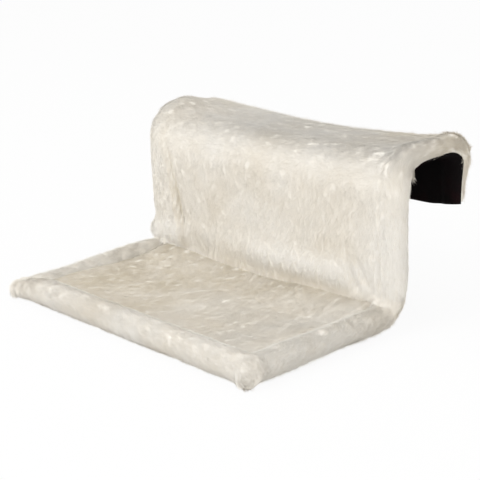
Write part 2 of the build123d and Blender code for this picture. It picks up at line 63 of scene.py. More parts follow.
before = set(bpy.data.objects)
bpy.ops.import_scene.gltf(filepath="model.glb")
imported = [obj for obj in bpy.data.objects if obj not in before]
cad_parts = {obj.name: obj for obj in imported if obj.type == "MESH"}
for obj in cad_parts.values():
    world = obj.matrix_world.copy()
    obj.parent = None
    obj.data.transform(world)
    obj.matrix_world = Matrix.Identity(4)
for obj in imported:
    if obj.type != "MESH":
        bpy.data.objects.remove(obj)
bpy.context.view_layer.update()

# Places of the frame's tubes and of the cover's rolls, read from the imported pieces
front_low, front_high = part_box("front_sleeve")
back_low, back_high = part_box("right_back_sleeve")
arm_low, arm_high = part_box("right_arm_sleeve")
leg_low, leg_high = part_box("right_leg_sleeve")
tube_low, tube_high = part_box("right_side_tube")
corner_low, corner_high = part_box("rear_cross_tube")
lining_low, lining_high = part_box("back_lining")
underside_low, underside_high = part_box("seat_lining")
flap_low, flap_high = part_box("closure_flap")
seat_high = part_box("seat_plush")[1]
leg_plush_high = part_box("hook_leg_plush")[1]

SIDE_X = (tube_low.x + tube_high.x) / 2
SEAT_R = (front_high.y - front_low.y) / 2
BACK_R = (back_high.x - back_low.x) / 2
ARM_R = (arm_high.x - arm_low.x) / 2
LEG_R = (leg_high.x - leg_low.x) / 2
FRONT_Y = (front_low.y + front_high.y) / 2
SEAT_Z = front_high.z - SEAT_R
UPRIGHT_Y = back_high.y - BACK_R
ARM_Z = arm_high.z - ARM_R
LEG_Y = leg_high.y - LEG_R
LOWER_BEND = (UPRIGHT_Y - (corner_low.y + corner_high.y) / 2) / (1 - math.cos(math.pi / 4))
UPPER_BEND = ARM_Z - back_high.z
LOWER_Z = SEAT_Z + LOWER_BEND
UPPER_Z = back_high.z
PANEL_X = lining_high.x
LINING_DEPTH = lining_high.y - UPRIGHT_Y
LEG_PLUSH_DEPTH = leg_plush_high.y - LEG_Y
HOOK_TOP = arm_high.z - ARM_Z

# Length along the hook tube's line at the end of each of its parts, from the lower bend to the leg
Ends = namedtuple("Ends", "low up over arm down leg")
RUN_STEP = 0.0025

# The back cover starts this far round the lower bend, in radians, and its hem stops this far above
# the rear leg's end. The hem is rounded, and drawn up at its two ends.
LOWER_START = 1.2
HEM_LIFT = 0.0062
HEM_ROUND = 0.007
HEM_CORNER = 0.0048

# The stations across the cover are this close together near the rolls
EDGE_REACH = 0.036
EDGE_STEP = 0.002

# The back's cloth: the lip over the crease along the seat, the bunches at the left foot, the slack
# folds at the right foot and the fold beside the left roll
LIP_DEPTH = 0.007
BUNCH_DEPTH = 0.005
SLACK_DEPTH = 0.005
CREASE_DEPTH = 0.006

# At its foot the back stands this far in front of the upright, over the cross tube, and the seat's
# cloth climbs this far where it meets the back. The seat sinks this far in its middle.
FOOT_DEPTH = 0.0168
SEAT_RISE = 0.0075
SEAT_HOLLOW = 0.008

# How full the hook's rear corner and left shoulder are, and where the shoulder lies on the arm
REAR_SWELL = 0.0128
LEFT_SHOULDER = 0.0125
SHOULDER_PLACE = 0.018

# The left end of the front roll reaches this far past its right end, and both ends are rounded
LEFT_OVERHANG = 0.009
BLUNT_END = 0.01
ROUND_END = 0.015

# How lumpy the rolls are
FRONT_LUMPS = 0.05
SIDE_LUMPS = 0.055

# Nothing comes closer to the floor
FLOOR_CLEAR = 0.0002

# The pieces that go over from the arms to the sliding hook stretch between these places
BLEND_START = 0.09
BLEND_END = 0.158

# The lining's gap to the cover, how far it hangs below the hem, and its closure's front hem
LINING_GAP = 0.0002
LINING_HEM = 0.0025
FLAP_HEM = 0.009

# Painted shade and highlight in the pile's colour: how much darker it is made in the fold along the seat, in
# the fold beside the left roll, at the hook's far side and at the rear of the side rolls, and how much paler
# on the puffs and the lip
FOLD_PAINTED_SHADE = 0.22
SIDE_FOLD_PAINTED_SHADE = 0.5
FAR_SIDE_PAINTED_SHADE = 0.16
REAR_PAINTED_SHADE = 0.2
PUFF_PAINTED_HIGHLIGHT = 0.55

# Light that the pile on top of the hook loses, and what it loses more towards the right
TOP_SHADOW = 0.15
FAR_SHADOW = 0.12

# The least light that reaches a hair, where 1 is all of it
DEEPEST = 0.6

# One lock of the pile: its hairs, and how high and how wide the stray one is
CURVED_HAIRS = 1
STRAIGHT_HAIRS = 10
STRAY_LIFT = 1.5
STRAY_WIDTH = 0.45
ROOT_SINK = -0.0008
GOLDEN_ANGLE = 2.39996

# How the scattered locks differ: how far one leans and tilts, and how rare the wild ones are
LOCK_LEAN = 0.12
LOCK_TILT = 0.03
WILD_POWER = 7.0

# A hair's share of its own normal, of its own tint and of the map's width
OWN_NORMAL = 0.04
TINT_SHARE = 0.02
MAP_WIDTH = 0.004

# What only the growing of the pile needs
HELPERS = ("comb", "shadow", "crease", "shade", "along", "tint", "facing")
PILE_INPUTS = (
    ("Geometry", "NodeSocketGeometry"),
    ("Lock", "NodeSocketObject"),
    ("Density", "NodeSocketFloat"),
    ("Region", "NodeSocketString"),
    ("Loft", "NodeSocketFloat"),
    ("Tone", "NodeSocketFloat"),
    ("Wild", "NodeSocketFloat"),
    ("Seed", "NodeSocketInt"),
    ("Material", "NodeSocketMaterial"),
)

THREADS_PER_METRE = 900.0

# The stage: half the floor's side, how white it looks, and the world's light from its sides and top
FLOOR_REACH = 6.0
GLOW_SHARE = 0.93
WORLD_LIGHT = 0.55
WORLD_RISE = 0.35
LIGHT_AIM = (0.0, 0.0, 0.1)
WHITE = (1.0, 1.0, 1.0, 1.0)


def length_setting(name, description, default):
    """A length that a user may change."""
    return FloatProperty(name=name, description=description, default=default, unit="LENGTH")


def angle_setting(name, description, degrees):
    """An angle that a user may change, given here in degrees."""
    radians = math.radians(degrees)
    return FloatProperty(name=name, description=description, default=radians, subtype="ANGLE")


def colour_setting(name, description, default):
    """A colour that a user may change."""
    return FloatVectorProperty(
        name=name, description=description, default=default, subtype="COLOR", size=3
    )


class BedSizes(bpy.types.PropertyGroup):
    """Sizes of the plush cover that a user would change."""

    pile_depth: length_setting("Pile depth", "How far the lying pile stands above the cloth", 0.0034)
    strand_length: length_setting("Strand length", "Length of one hair of the pile", 0.0095)
    strand_width: length_setting("Strand width", "Width of one hair at its root", 0.0007)
    lock_spread: length_setting("Lock spread", "Radius of the patch that one lock's hairs grow from", 0.0042)
    back_depth: length_setting("Back depth", "From the frame's upright to the back panel's front face", 0.018)
    back_crown: length_setting("Back crown", "How far the middle of the back panel swells", 0.004)
    ridge_sag: length_setting("Ridge sag", "How far the ridge hangs between the two arms", 0.0085)
    rear_bend: length_setting("Rear bend", "Bend radius of the hook's rear corners", 0.022)
    lump_height: length_setting("Lump height", "Height of the soft lumps in the cover", 0.0022)
    lining_thickness: length_setting("Lining thickness", "Thickness of the dark lining cloth", 0.0016)


class BedColours(bpy.types.PropertyGroup):
    """Colours of the cover, the lining and the frame."""

    pile_light: colour_setting("Light pile", "The palest hairs", (0.93, 0.905, 0.855))
    pile_dark: colour_setting("Dark pile", "The warmest and darkest hairs", (0.87, 0.82, 0.73))
    lining_black: colour_setting("Lining black", "The lining cloth's ground colour", (0.001, 0.0006, 0.0008))
    lining_maroon: colour_setting("Lining maroon", "The lining cloth's warm bloom", (0.022, 0.002, 0.004))
    coat: colour_setting("Frame coat", "Powder coat on the tubes", (0.78, 0.78, 0.76))
    zinc: colour_setting("Zinc", "Plating on the bolts and screws", (0.70, 0.70, 0.72))
    cap: colour_setting("Cap plastic", "Moulded plastic of the caps and inserts", (0.03, 0.03, 0.03))
    tape: colour_setting("Tape", "Hook and loop tape", (0.02, 0.02, 0.022))
    floor: colour_setting("Floor", "Studio floor and backdrop", (0.86, 0.86, 0.86))


class BedView(bpy.types.PropertyGroup):
    """The camera's place, from the outline of the bed in the photograph."""

    azimuth: angle_setting("Azimuth", "Turn of the camera to the right of the seat's front", 48.55)
    elevation: angle_setting("Elevation", "How far the camera looks down", 16.22)
    roll: angle_setting("Roll", "Turn of the camera about its own line of sight", 2.41)
    lens: FloatProperty(name="Lens", description="Focal length in millimetres", default=88.4, unit="CAMERA")
    distance: length_setting("Distance", "From the camera to the origin, along the line of sight", 1.5366)
    aim_right: length_setting("Aim right", "How far the camera stands to the right of the origin", 0.01015)
    aim_up: length_setting("Aim up", "How far the camera stands above the origin, across the sight", 0.0801)
    seed: IntProperty(name="Seed", description="Seed of the pile's scatter", default=7)


def sizes():
    """The sizes in this file."""
    return bpy.context.scene.bed_sizes


def colours():
    """The colours in this file."""
    return bpy.context.scene.bed_colours


class Value:
    """A node's socket that plain arithmetic works on."""

    def __init__(self, graph, socket):
        self.graph = graph
        self.socket = socket

    def math(self, operation, first, second):
        """One Math node."""
        node = self.graph.add("ShaderNodeMath", {"operation": operation}, {0: first, 1: second})
        return self.graph.out(node)

    def __add__(self, other):
        return self.math("ADD", self, other)

    def __radd__(self, other):
        return self.math("ADD", other, self)

    def __sub__(self, other):
        return self.math("SUBTRACT", self, other)

    def __rsub__(self, other):
        return self.math("SUBTRACT", other, self)

    def __mul__(self, other):
        return self.math("MULTIPLY", self, other)

    def __rmul__(self, other):
        return self.math("MULTIPLY", other, self)

    def __pow__(self, other):
        return self.math("POWER", self, other)

    def clamp(self):
        """The value, kept between 0 and 1."""
        node = self.graph.add("ShaderNodeMath", {"operation": "ADD", "use_clamp": True}, {0: self, 1: 0.0})
        return self.graph.out(node)


class Graph:
    """Adds nodes to one tree and links them."""

    def __init__(self, tree):
        self.tree = tree
        self.tree.nodes.clear()

    def add(self, kind, settings=None, inputs=None):
        """One node: its settings come first, then the values and links of its sockets."""
        node = self.tree.nodes.new(kind)
        for name, value in (settings or {}).items():
            if name == "stops":
                ramp_stops(node.color_ramp, value)
            else:
                setattr(node, name, value)
        for key, value in (inputs or {}).items():
            if isinstance(value, Value):
                self.tree.links.new(value.socket, node.inputs[key])
            else:
                node.inputs[key].default_value = value
        return node

    def out(self, node, key=0):
        """A node's output as a value."""
        return Value(self, node.outputs[key])

    def mix(self, factor, first, second, blend="MIX"):
        """Two colours mixed by a factor."""
        inputs = {0: factor, 6: first, 7: second}
        node = self.add("ShaderNodeMix", {"data_type": "RGBA", "blend_type": blend}, inputs)
        return self.out(node, 2)

    def ramp(self, place, stops):
        """A colour from a ramp's stops."""
        return self.out(self.add("ShaderNodeValToRGB", {"stops": stops}, {0: place}))

    def noise(self, vector, scale, detail=2.0, roughness=0.5):
        """Noise from 0 to 1 at a place."""
        inputs = {"Vector": vector, "Scale": scale, "Detail": detail, "Roughness": roughness}
        return self.out(self.add("ShaderNodeTexNoise", None, inputs), "Fac")

    def bump(self, height, strength, distance):
        """A bumped normal."""
        inputs = {"Height": height, "Strength": strength, "Distance": distance}
        return self.out(self.add("ShaderNodeBump", None, inputs), "Normal")

    def split(self, vector):
        """The three parts of a vector."""
        node = self.add("ShaderNodeSeparateXYZ", None, {0: vector})
        return [self.out(node, axis) for axis in "XYZ"]

    def join(self, x, y, z):
        """A vector of three parts."""
        return self.out(self.add("ShaderNodeCombineXYZ", None, {0: x, 1: y, 2: z}))

    def vector_math(self, operation, first, second):
        """One Vector Math node."""
        return self.out(self.add("ShaderNodeVectorMath", {"operation": operation}, {0: first, 1: second}))

    def vector_scale(self, vector, amount):
        """A vector times a number."""
        inputs = {0: vector, "Scale": amount}
        return self.out(self.add("ShaderNodeVectorMath", {"operation": "SCALE"}, inputs))


def ramp_stops(ramp, stops):
    """Fills a colour ramp with stops, each a place and a colour."""
    while len(ramp.elements) < len(stops):
        ramp.elements.new(0.5)
    for element, (place, colour) in zip(ramp.elements, stops):
        element.position = place
        element.color = opaque(colour)


def opaque(colour):
    """A colour with full alpha."""
    return (colour[0], colour[1], colour[2], 1.0)


def object_place(graph):
    """Object coordinates, which are the frame's own."""
    return graph.out(graph.add("ShaderNodeTexCoord"), "Object")


def pile_finish(graph):
    """Hairs: the map's first axis picks the shade and its second how much light reaches the hair."""
    across, up, _ = graph.split(graph.out(graph.add("ShaderNodeUVMap", {"uv_map": "OFBake"}), "UV"))
    dark = Vector(colours().pile_dark)
    light = Vector(colours().pile_light)
    # the khaki end is where painted shade takes the pile, in the folds and on the seat, and the palest stop
    # is where painted highlight takes it on the puffs
    painted_shade_khaki = Vector((dark.x * 0.87, dark.y * 0.84, dark.z * 0.76))
    shades = [(0.0, painted_shade_khaki), (0.32, dark), (0.68, light), (1.0, light * 1.03)]
    depths = [(0.0, (DEEPEST, DEEPEST, DEEPEST)), (1.0, (1.0, 1.0, 1.0))]
    return {
        "Base Color": graph.mix(1.0, graph.ramp(across, shades), graph.ramp(up, depths), "MULTIPLY"),
        "Roughness": 0.75,
        "Sheen Weight": 0.08,
        "Sheen Roughness": 0.5,
        "Specular IOR Level": 0.2,
    }


def backing_finish(graph):
    """The knitted cloth that the hairs stand in."""
    place = object_place(graph)
    patches = graph.noise(place, scale=14.0, detail=3.0)
    fibres = graph.noise(place, scale=420.0, detail=4.0, roughness=0.7)
    dark = Vector(colours().pile_dark)
    light = Vector(colours().pile_light)
    tone = (patches * 0.6 + fibres * 0.4).clamp()
    return {
        "Base Color": graph.mix(tone, opaque(dark * 0.86), opaque(dark.lerp(light, 0.7))),
        "Roughness": (0.75 + fibres * 0.2).clamp(),
        "Sheen Weight": 0.2,
        "Normal": graph.bump(fibres, strength=0.6, distance=0.0012),
    }


def lining_finish(graph):
    """Brushed woven cloth, black with a maroon bloom."""
    place = object_place(graph)
    across, depth, height = graph.split(place)
    weave = (thread_wave(graph, across) * thread_wave(graph, height + depth)).clamp()
    bloom = graph.noise(place, scale=22.0, detail=4.0, roughness=0.6)
    fuzz = graph.noise(place, scale=900.0, detail=3.0, roughness=0.7)
    tone = (bloom * 1.6 - 0.7).clamp()
    maroon = Vector(colours().lining_maroon)
    ground = graph.mix(tone, opaque(colours().lining_black), opaque(maroon))
    return {
        "Base Color": graph.mix((weave * 0.2).clamp(), ground, opaque(maroon * 0.8)),
        "Roughness": (0.72 + fuzz * 0.25).clamp(),
        "Specular IOR Level": 0.12,
        "Normal": graph.bump(weave * 0.5 + fuzz, strength=0.5, distance=0.0005),
    }


def thread_wave(graph, coordinate):
    """Threads as round ridges across one coordinate."""
    scaled = coordinate * (THREADS_PER_METRE * math.pi)
    wave = graph.out(graph.add("ShaderNodeMath", {"operation": "SINE"}, {0: scaled}))
    return wave * wave


def coat_finish(graph):
    """Powder coat with its fine orange peel."""
    place = object_place(graph)
    peel = graph.noise(place, scale=1400.0, detail=2.0)
    scuffs = graph.noise(place, scale=60.0, detail=5.0, roughness=0.7)
    coat = Vector(colours().coat)
    return {
        "Base Color": graph.mix(scuffs, opaque(coat * 0.93), opaque(coat)),
        "Roughness": (0.38 + scuffs * 0.2).clamp(),
        "Normal": graph.bump(peel, strength=0.25, distance=0.0003),
    }


def zinc_finish(graph):
    """Zinc plating with a spangled gloss."""
    spangle = graph.noise(object_place(graph), scale=520.0, detail=3.0, roughness=0.6)
    zinc = Vector(colours().zinc)
    return {
        "Base Color": graph.mix(spangle, opaque(zinc * 0.82), opaque(zinc)),
        "Metallic": 1.0,
        "Roughness": (0.28 + spangle * 0.25).clamp(),
    }


def cap_finish(graph):
    """Moulded plastic with a fine grain."""
    grain = graph.noise(object_place(graph), scale=2200.0, detail=2.0)
    cap = Vector(colours().cap)
    return {
        "Base Color": graph.mix(grain, opaque(cap * 0.8), opaque(cap * 1.3)),
        "Roughness": (0.5 + grain * 0.2).clamp(),
        "Normal": graph.bump(grain, strength=0.3, distance=0.0002),
    }


def tape_finish(graph):
    """Hook and loop tape, a dense field of tiny loops."""
    inputs = {"Vector": object_place(graph), "Scale": 1100.0}
    loops = graph.out(graph.add("ShaderNodeTexVoronoi", None, inputs), "Distance")
    tape = Vector(colours().tape)
    return {
        "Base Color": graph.mix(loops.clamp(), opaque(tape), opaque(tape * 3.0)),
        "Roughness": 0.8,
        "Normal": graph.bump(loops, strength=0.8, distance=0.0006),
    }


FINISHES = {
    "cream_pile": pile_finish,
    "cream_backing": backing_finish,
    "dark_lining": lining_finish,
    "powder_coat": coat_finish,
    "zinc_plating": zinc_finish,
    "moulded_plastic": cap_finish,
    "loop_tape": tape_finish,
}


def new_material(name):
    """An empty node material with its graph."""
    made = bpy.data.materials.new(name)
    made.use_nodes = True
    return made, Graph(made.node_tree)


def material(name):
    """A material of this file, made the first time that it is asked for."""
    made = bpy.data.materials.get(name)
    if made is None:
        made, graph = new_material(name)
        shader = graph.add("ShaderNodeBsdfPrincipled", None, FINISHES[name](graph))
        graph.add("ShaderNodeOutputMaterial", None, {"Surface": graph.out(shader)})
    return made


def smoothstep(low, high, values):
    """0 below low, 1 above high and a smooth step between."""
    share = np.clip((values - low) / (high - low), 0.0, 1.0)
    return share * share * (3.0 - 2.0 * share)


def soft_max(first, second, width):
    """The larger of two heights, with the corner between them rounded over a width."""
    return 0.5 * (first + second + np.sqrt((first - second) ** 2 + width * width))


def bell(values, middle, spread):
    """A smooth hill of height 1."""
    return np.exp(-(((values - middle) / spread) ** 2))


def lumps(x, y, scale, seed):
    """Smooth noise between -1 and 1 along a line over a sheet."""
    pairs = zip(*np.broadcast_arrays(x, y))
    return np.array([noise.noise(Vector((px * scale, py * scale, seed))) for px, py in pairs])


def roll_lumps(along, angles, shift):
    """Smooth noise between -1 and 1 round a roll, at one place along it."""
    spots = [(along, math.cos(a) * 1.1, math.sin(a) * 1.1 + shift) for a in angles]
    return np.array([noise.noise(Vector(spot)) for spot in spots])


def mesh_from_rings(name, rings, layers, finish):
    """A closed mesh from rings of points, each ring joined to the next and both ends capped.

    The layers are what each ring says of its pile, by the names of the helper attributes.
    """
    rings = np.array(rings)
    count, around = rings.shape[:2]
    points = [tuple(p) for p in rings.reshape(-1, 3)]
    faces = [tuple(range(around)), tuple(range((count - 1) * around, count * around))]
    for i in range(count - 1):
        here = i * around
        there = (i + 1) * around
        for j in range(around):
            k = (j + 1) % around
            faces.append((here + j, here + k, there + k, there + j))
    mesh = bpy.data.meshes.new(name)
    mesh.from_pydata(points, [], faces)
    for key in layers[0] if layers else ():
        whole = np.array([layer[key] for layer in layers]).reshape(count * around, -1)
        kind = "FLOAT_VECTOR" if whole.shape[1] == 3 else "FLOAT"
        layer = mesh.attributes.new(key, kind, "POINT")
        layer.data.foreach_set("vector" if kind == "FLOAT_VECTOR" else "value", whole.ravel())
    mesh.materials.append(material(finish))
    outward(mesh)
    for polygon in mesh.polygons:
        polygon.use_smooth = True
    piece = bpy.data.objects.new(name, mesh)
    bpy.context.scene.collection.objects.link(piece)
    return piece


def outward(mesh):
    """Turns every face outwards."""
    shape = bmesh.new()
    shape.from_mesh(mesh)
    bmesh.ops.recalc_face_normals(shape, faces=shape.faces)
    shape.to_mesh(mesh)
    shape.free()


def arc_point(middle_y, middle_z, radius, angle):
    """A point on an arc in the Y-Z plane."""
    return (middle_y + radius * math.cos(angle), middle_z + radius * math.sin(angle))


def cover_run():
    """The hook tube's line in the Y-Z plane, from the seat's rear corner to the rear leg's hem.

    Gives each station's length along the line, the lengths at its parts' ends, and each station's
    centre and outward normal.
    """
    rear_bend = sizes().rear_bend
    low = LOWER_BEND * LOWER_START
    up = UPPER_Z - LOWER_Z
    over = UPPER_BEND * math.pi / 2
    arm = (LEG_Y - rear_bend) - (UPRIGHT_Y + UPPER_BEND)
    down = rear_bend * math.pi / 2
    leg = (ARM_Z - rear_bend) - (leg_low.z + HEM_LIFT)
    ends = Ends(*np.cumsum([low, up, over, arm, down, leg]))
    along = np.linspace(0.0, ends.leg, int(ends.leg / RUN_STEP))
    centre = np.zeros((len(along), 2))
    normal = np.zeros((len(along), 2))
    for i, s in enumerate(along):
        if s < ends.low:
            angle = -(ends.low - s) / LOWER_BEND
            centre[i] = arc_point(UPRIGHT_Y - LOWER_BEND, LOWER_Z, LOWER_BEND, angle)
            normal[i] = (-math.cos(angle), -math.sin(angle))
        elif s < ends.up:
            centre[i] = (UPRIGHT_Y, LOWER_Z + s - ends.low)
            normal[i] = (-1.0, 0.0)
        elif s < ends.over:
            angle = math.pi - (s - ends.up) / UPPER_BEND
            centre[i] = arc_point(UPRIGHT_Y + UPPER_BEND, UPPER_Z, UPPER_BEND, angle)
            normal[i] = (math.cos(angle), math.sin(angle))
        elif s < ends.arm:
            centre[i] = (UPRIGHT_Y + UPPER_BEND + s - ends.over, ARM_Z)
            normal[i] = (0.0, 1.0)
        elif s < ends.down:
            angle = math.pi / 2 - (s - ends.arm) / rear_bend
            centre[i] = arc_point(LEG_Y - rear_bend, ARM_Z - rear_bend, rear_bend, angle)
            normal[i] = (math.cos(angle), math.sin(angle))
        else:
            centre[i] = (LEG_Y, ARM_Z - rear_bend - (s - ends.down))
            normal[i] = (1.0, 0.0)
    return along, ends, centre, normal


def across_stations():
    """Places across the cover between the two rolls' centres, closer together near the rolls."""
    edge = np.arange(SIDE_X - EDGE_REACH, SIDE_X + 1e-6, EDGE_STEP)
    middle = np.linspace(-edge[0], edge[0], 76)[1:-1]
    return np.concatenate([-edge[::-1], middle, edge])


def pass_over(back, arm, leg, over, rear):
    """Goes over from the back's value to the arm's, and on to the rear leg's."""
    return back * (1.0 - over) + arm * over * (1.0 - rear) + leg * rear


def down_leg(s, ends):
    """How far down the rear leg a place is, from 0 at the corner to 1 at the hem."""
    return smoothstep(ends.down - 0.012, ends.leg, s)


def rear_swell(s, ends):
    """How far the cloth stands out round the hook's rear corner."""
    return REAR_SWELL * smoothstep(ends.arm - 0.01, ends.down, s) * (1.0 - down_leg(s, ends)) ** 1.3


def panel_height(x, s, ends, z):
    """How far the cover's cloth stands out from the tube's line, between the rolls."""
    size = sizes()
    pile = size.pile_depth
    share = np.clip(np.abs(x) / PANEL_X, 0.0, 1.0)
    back = size.back_depth - pile + size.back_crown * (1.0 - share**2)
    top = HOOK_TOP - pile - 0.0012
    leg = LEG_PLUSH_DEPTH - pile
    over = smoothstep(ends.up - 0.02, ends.over + 0.01, s)
    rear = smoothstep(ends.arm, ends.down, s)
    height = pass_over(back, top, leg, over, rear)
    # the ridge hangs lowest to the right of the middle
    hang = smoothstep(-0.19, 0.02, x) * (1.0 - 0.45 * smoothstep(0.125, 0.185, x))
    before_corner = 1.0 - smoothstep(ends.down - 0.006, ends.down + 0.03, s)
    on_top = smoothstep(ends.up + 0.006, ends.over, s) * before_corner
    height = height - size.ridge_sag * hang * on_top
    height = height + LEFT_SHOULDER * bell(x, -0.208, 0.04) * bell(s, ends.over + SHOULDER_PLACE, 0.038)
    near_roll = 0.2 + smoothstep(0.165, 0.205, np.abs(x)) * np.where(x > 0, 0.8, 0.35)
    height = height + rear_swell(s, ends) * near_roll - 0.002 * down_leg(s, ends)
    # a full lip rolls over the crease along the seat, and the cloth is drawn in under it
    rightwards = 0.35 + 0.65 * smoothstep(-0.06, 0.06, x)
    lip = bell(z, 0.056, 0.016) * rightwards * (1.0 - smoothstep(0.13, 0.19, x))
    height = height + LIP_DEPTH * lip
    # two bunches of cloth at the left foot of the back
    inner_bunch = bell(x, -0.163, 0.016) * bell(z, 0.048, 0.014)
    outer_bunch = 0.6 * bell(x, -0.19, 0.014) * bell(z, 0.047, 0.014)
    height = height + BUNCH_DEPTH * (inner_bunch + outer_bunch)
    # two slack folds at the right foot of the back
    rise = z - 0.03
    folds = bell(x + rise * 0.35, 0.176, 0.007) + 0.7 * bell(x + rise * 0.5, 0.2, 0.006)
    height = height - SLACK_DEPTH * folds * bell(z, 0.05, 0.028)
    wave = lumps(x, s, 11.0, 3.1) + 0.2 * lumps(x, s, 27.0, 8.4)
    height = height + size.lump_height * wave
    foot = smoothstep(0.052, 0.034, z) * smoothstep(PANEL_X + 0.012, PANEL_X, np.abs(x))
    return height + foot * np.maximum(FOOT_DEPTH - height, 0.0)


def roll_axes(s, ends, right):
    """The half width, the outer depth and the inner depth of one side's roll along the cover."""
    pile = sizes().pile_depth
    thick = sizes().lining_thickness
    over = float(smoothstep(ends.up - 0.03, ends.over, s))
    rear = float(smoothstep(ends.over + 0.02, ends.down, s))
    width = pass_over(BACK_R - 0.1 * pile, ARM_R - 0.5 * pile, LEG_R + 0.001, over, rear)
    outer = pass_over(BACK_R - 0.7 * pile, ARM_R - pile, LEG_R - pile, over, rear)
    inner = pass_over(BACK_R - pile, ARM_R - thick, LEG_R - thick, over, rear)
    # the rear corner stands full and its leg thins out towards the hem
    swell = float(rear_swell(s, ends))
    outer = outer + swell - 0.0025 * float(down_leg(s, ends))
    width = width + 0.3 * swell
    # the roll starts slim inside the seat's roll
    slim = 1.0 - 0.14 * (1.0 - float(smoothstep(0.0, 0.024, s)))
    width = width * slim
    outer = outer * slim
    inner = inner * slim
    # behind the back the pile is brushed out towards the radiator under the arm
    brushed = float(bell(s, ends.up + 0.026, 0.024))
    inner = inner + 0.017 * brushed + 0.006 * float(bell(s, ends.up - 0.004, 0.02))
    width = width + 0.001 * brushed
    if right:
        # the right roll is drawn in where it turns into the seat
        turn_in = 1.0 - float(smoothstep(ends.low - 0.004, ends.low + 0.03, s))
        tucked = 1.0 - float(smoothstep(ends.low - 0.012, ends.low + 0.012, s))
        inner = inner - 0.006 * turn_in - 0.0015 * tucked
        width = width - 0.0025 * tucked + 0.0012 * (1.0 - over)
    else:
        shoulder = float(bell(s, ends.over + SHOULDER_PLACE, 0.038))
        outer = outer - 0.45 * swell + LEFT_SHOULDER * shoulder
        # the left roll has a waist above a flared foot
        foot = float(bell(s, ends.low + 0.002, 0.015))
        outer = outer + 0.004 * foot
        width = width + 0.012 * foot - 0.005 * float(bell(s, ends.low + 0.029, 0.013))
    return width, outer, inner


def quarter_arc(axes):
    """Length of the cloth round one quarter of a roll's inner half."""
    width, _, inner = axes
    return math.pi / 2 * math.sqrt((width * width + inner * inner) / 2)


def total_reach(axes):
    """Length of the cloth from the section's side to the middle of its inner face."""
    return SIDE_X + quarter_arc(axes)


def section_reach(xs, vs, axes):
    """Length along the cloth from the section's side round its inner half, and below 0 on the outer half."""
    width, _, inner = axes
    quarter = quarter_arc(axes)
    angle = np.arctan2(-vs / inner, np.clip((np.abs(xs) - SIDE_X) / width, 0.0, None) + 1e-9)
    on_roll = quarter * np.clip(angle, 0.0, math.pi / 2) / (math.pi / 2)
    on_panel = quarter + np.clip(SIDE_X - np.abs(xs), 0.0, None)
    reach = np.where(np.abs(xs) > SIDE_X, on_roll, on_panel)
    return np.where(vs > 0, -0.02, reach)


def lining_reach(s, ends):
    """How far round the section the lining goes from the middle, along the cloth."""
    quarter = quarter_arc(roll_axes(s, ends, True))
    over = float(smoothstep(ends.up + 0.006, ends.over + 0.022, s))
    on_arm = 0.12 * float(smoothstep(ends.over, ends.arm, s))
    on_leg = 0.26 * float(smoothstep(ends.arm, ends.down, s))
    share = 0.4 + on_arm + on_leg
    return (PANEL_X + 0.002) * (1.0 - over) + (SIDE_X + quarter * share) * over


def inner_profile(x, width, inner, depth):
    """Depth of the cloth behind the tube's line, between the rolls' centres."""
    share = np.clip(1.0 - ((np.abs(x) - SIDE_X) / width) ** 2, 0.0, None)
    return -soft_max(np.full_like(x, depth), inner * np.sqrt(share), 0.001)


def crease_place(height):
    """Where the fold beside the left roll runs, which drifts inwards on its way down."""
    return -0.156 - 0.031 * height


def crease_depth(x, s, ends):
    """Depth of the fold beside the left roll."""
    height = (s - ends.low) / (ends.up - ends.low)
    below_top = 1.0 - smoothstep(ends.up - 0.01, ends.over, s)
    depth = CREASE_DEPTH * bell(height, 0.42, 0.33) + 0.001 * below_top
    return depth * bell(x, crease_place(height), 0.0055)


def hem_rise(x, s, ends):
    """How far the rear leg's hem is drawn up towards its two ends."""
    share = smoothstep(ends.down, ends.leg, s)
    return HEM_CORNER * share * smoothstep(SIDE_X - 0.034, SIDE_X + 0.012, np.abs(x))


def painted_cover_shading(x, s, ends, z):
    """Painted shade and highlight: how much darker the pile's colour is made in the cover's folds and towards
    the hook's far side, and how much paler on its puffs and lip.
    """
    height = (s - ends.low) / (ends.up - ends.low)
    # painted shade in the fold along the seat, at the back's foot
    low = smoothstep(0.052, 0.034, z) * smoothstep(-0.17, -0.06, x) * smoothstep(0.215, 0.19, x)
    # painted shade in the fold beside the left roll, below the top and deepest halfway up
    below_top = 1.0 - smoothstep(ends.up, ends.over, s)
    deep = 0.35 + 0.65 * bell(height, 0.42, 0.33)
    side = bell(x, crease_place(height), 0.009) * deep * below_top
    # painted highlight on the puffs at the left foot and along the lip over the seat
    puff = bell(x, -0.185, 0.024) * bell(z, 0.052, 0.014)
    puff = puff + 0.5 * smoothstep(-0.04, 0.06, x) * bell(z, 0.064, 0.013)
    # painted shade towards the hook's far, right side
    far = smoothstep(0.05, 0.19, x) * smoothstep(ends.up + 0.01, ends.arm, s)
    return FOLD_PAINTED_SHADE * low + SIDE_FOLD_PAINTED_SHADE * side - PUFF_PAINTED_HIGHLIGHT * puff + FAR_SIDE_PAINTED_SHADE * far


def top_shadow(x, s, ends):
    """How much light is lost in the pile on top of the hook, which lies away from the light."""
    backwards = 0.15 + 0.85 * smoothstep(ends.down, ends.arm - 0.02, s)
    over = smoothstep(ends.up + 0.002, ends.up + 0.03, s) * backwards
    over = over * (1.0 - 0.6 * smoothstep(SIDE_X, SIDE_X + 0.01, x))
    return over * (TOP_SHADOW + FAR_SHADOW * smoothstep(-0.2, 0.02, x))


def by_side(x, axes, which):
    """One of the rolls' three axes, from the roll on each place's own side."""
    return np.where(x > 0, axes[1.0][which], axes[-1.0][which])


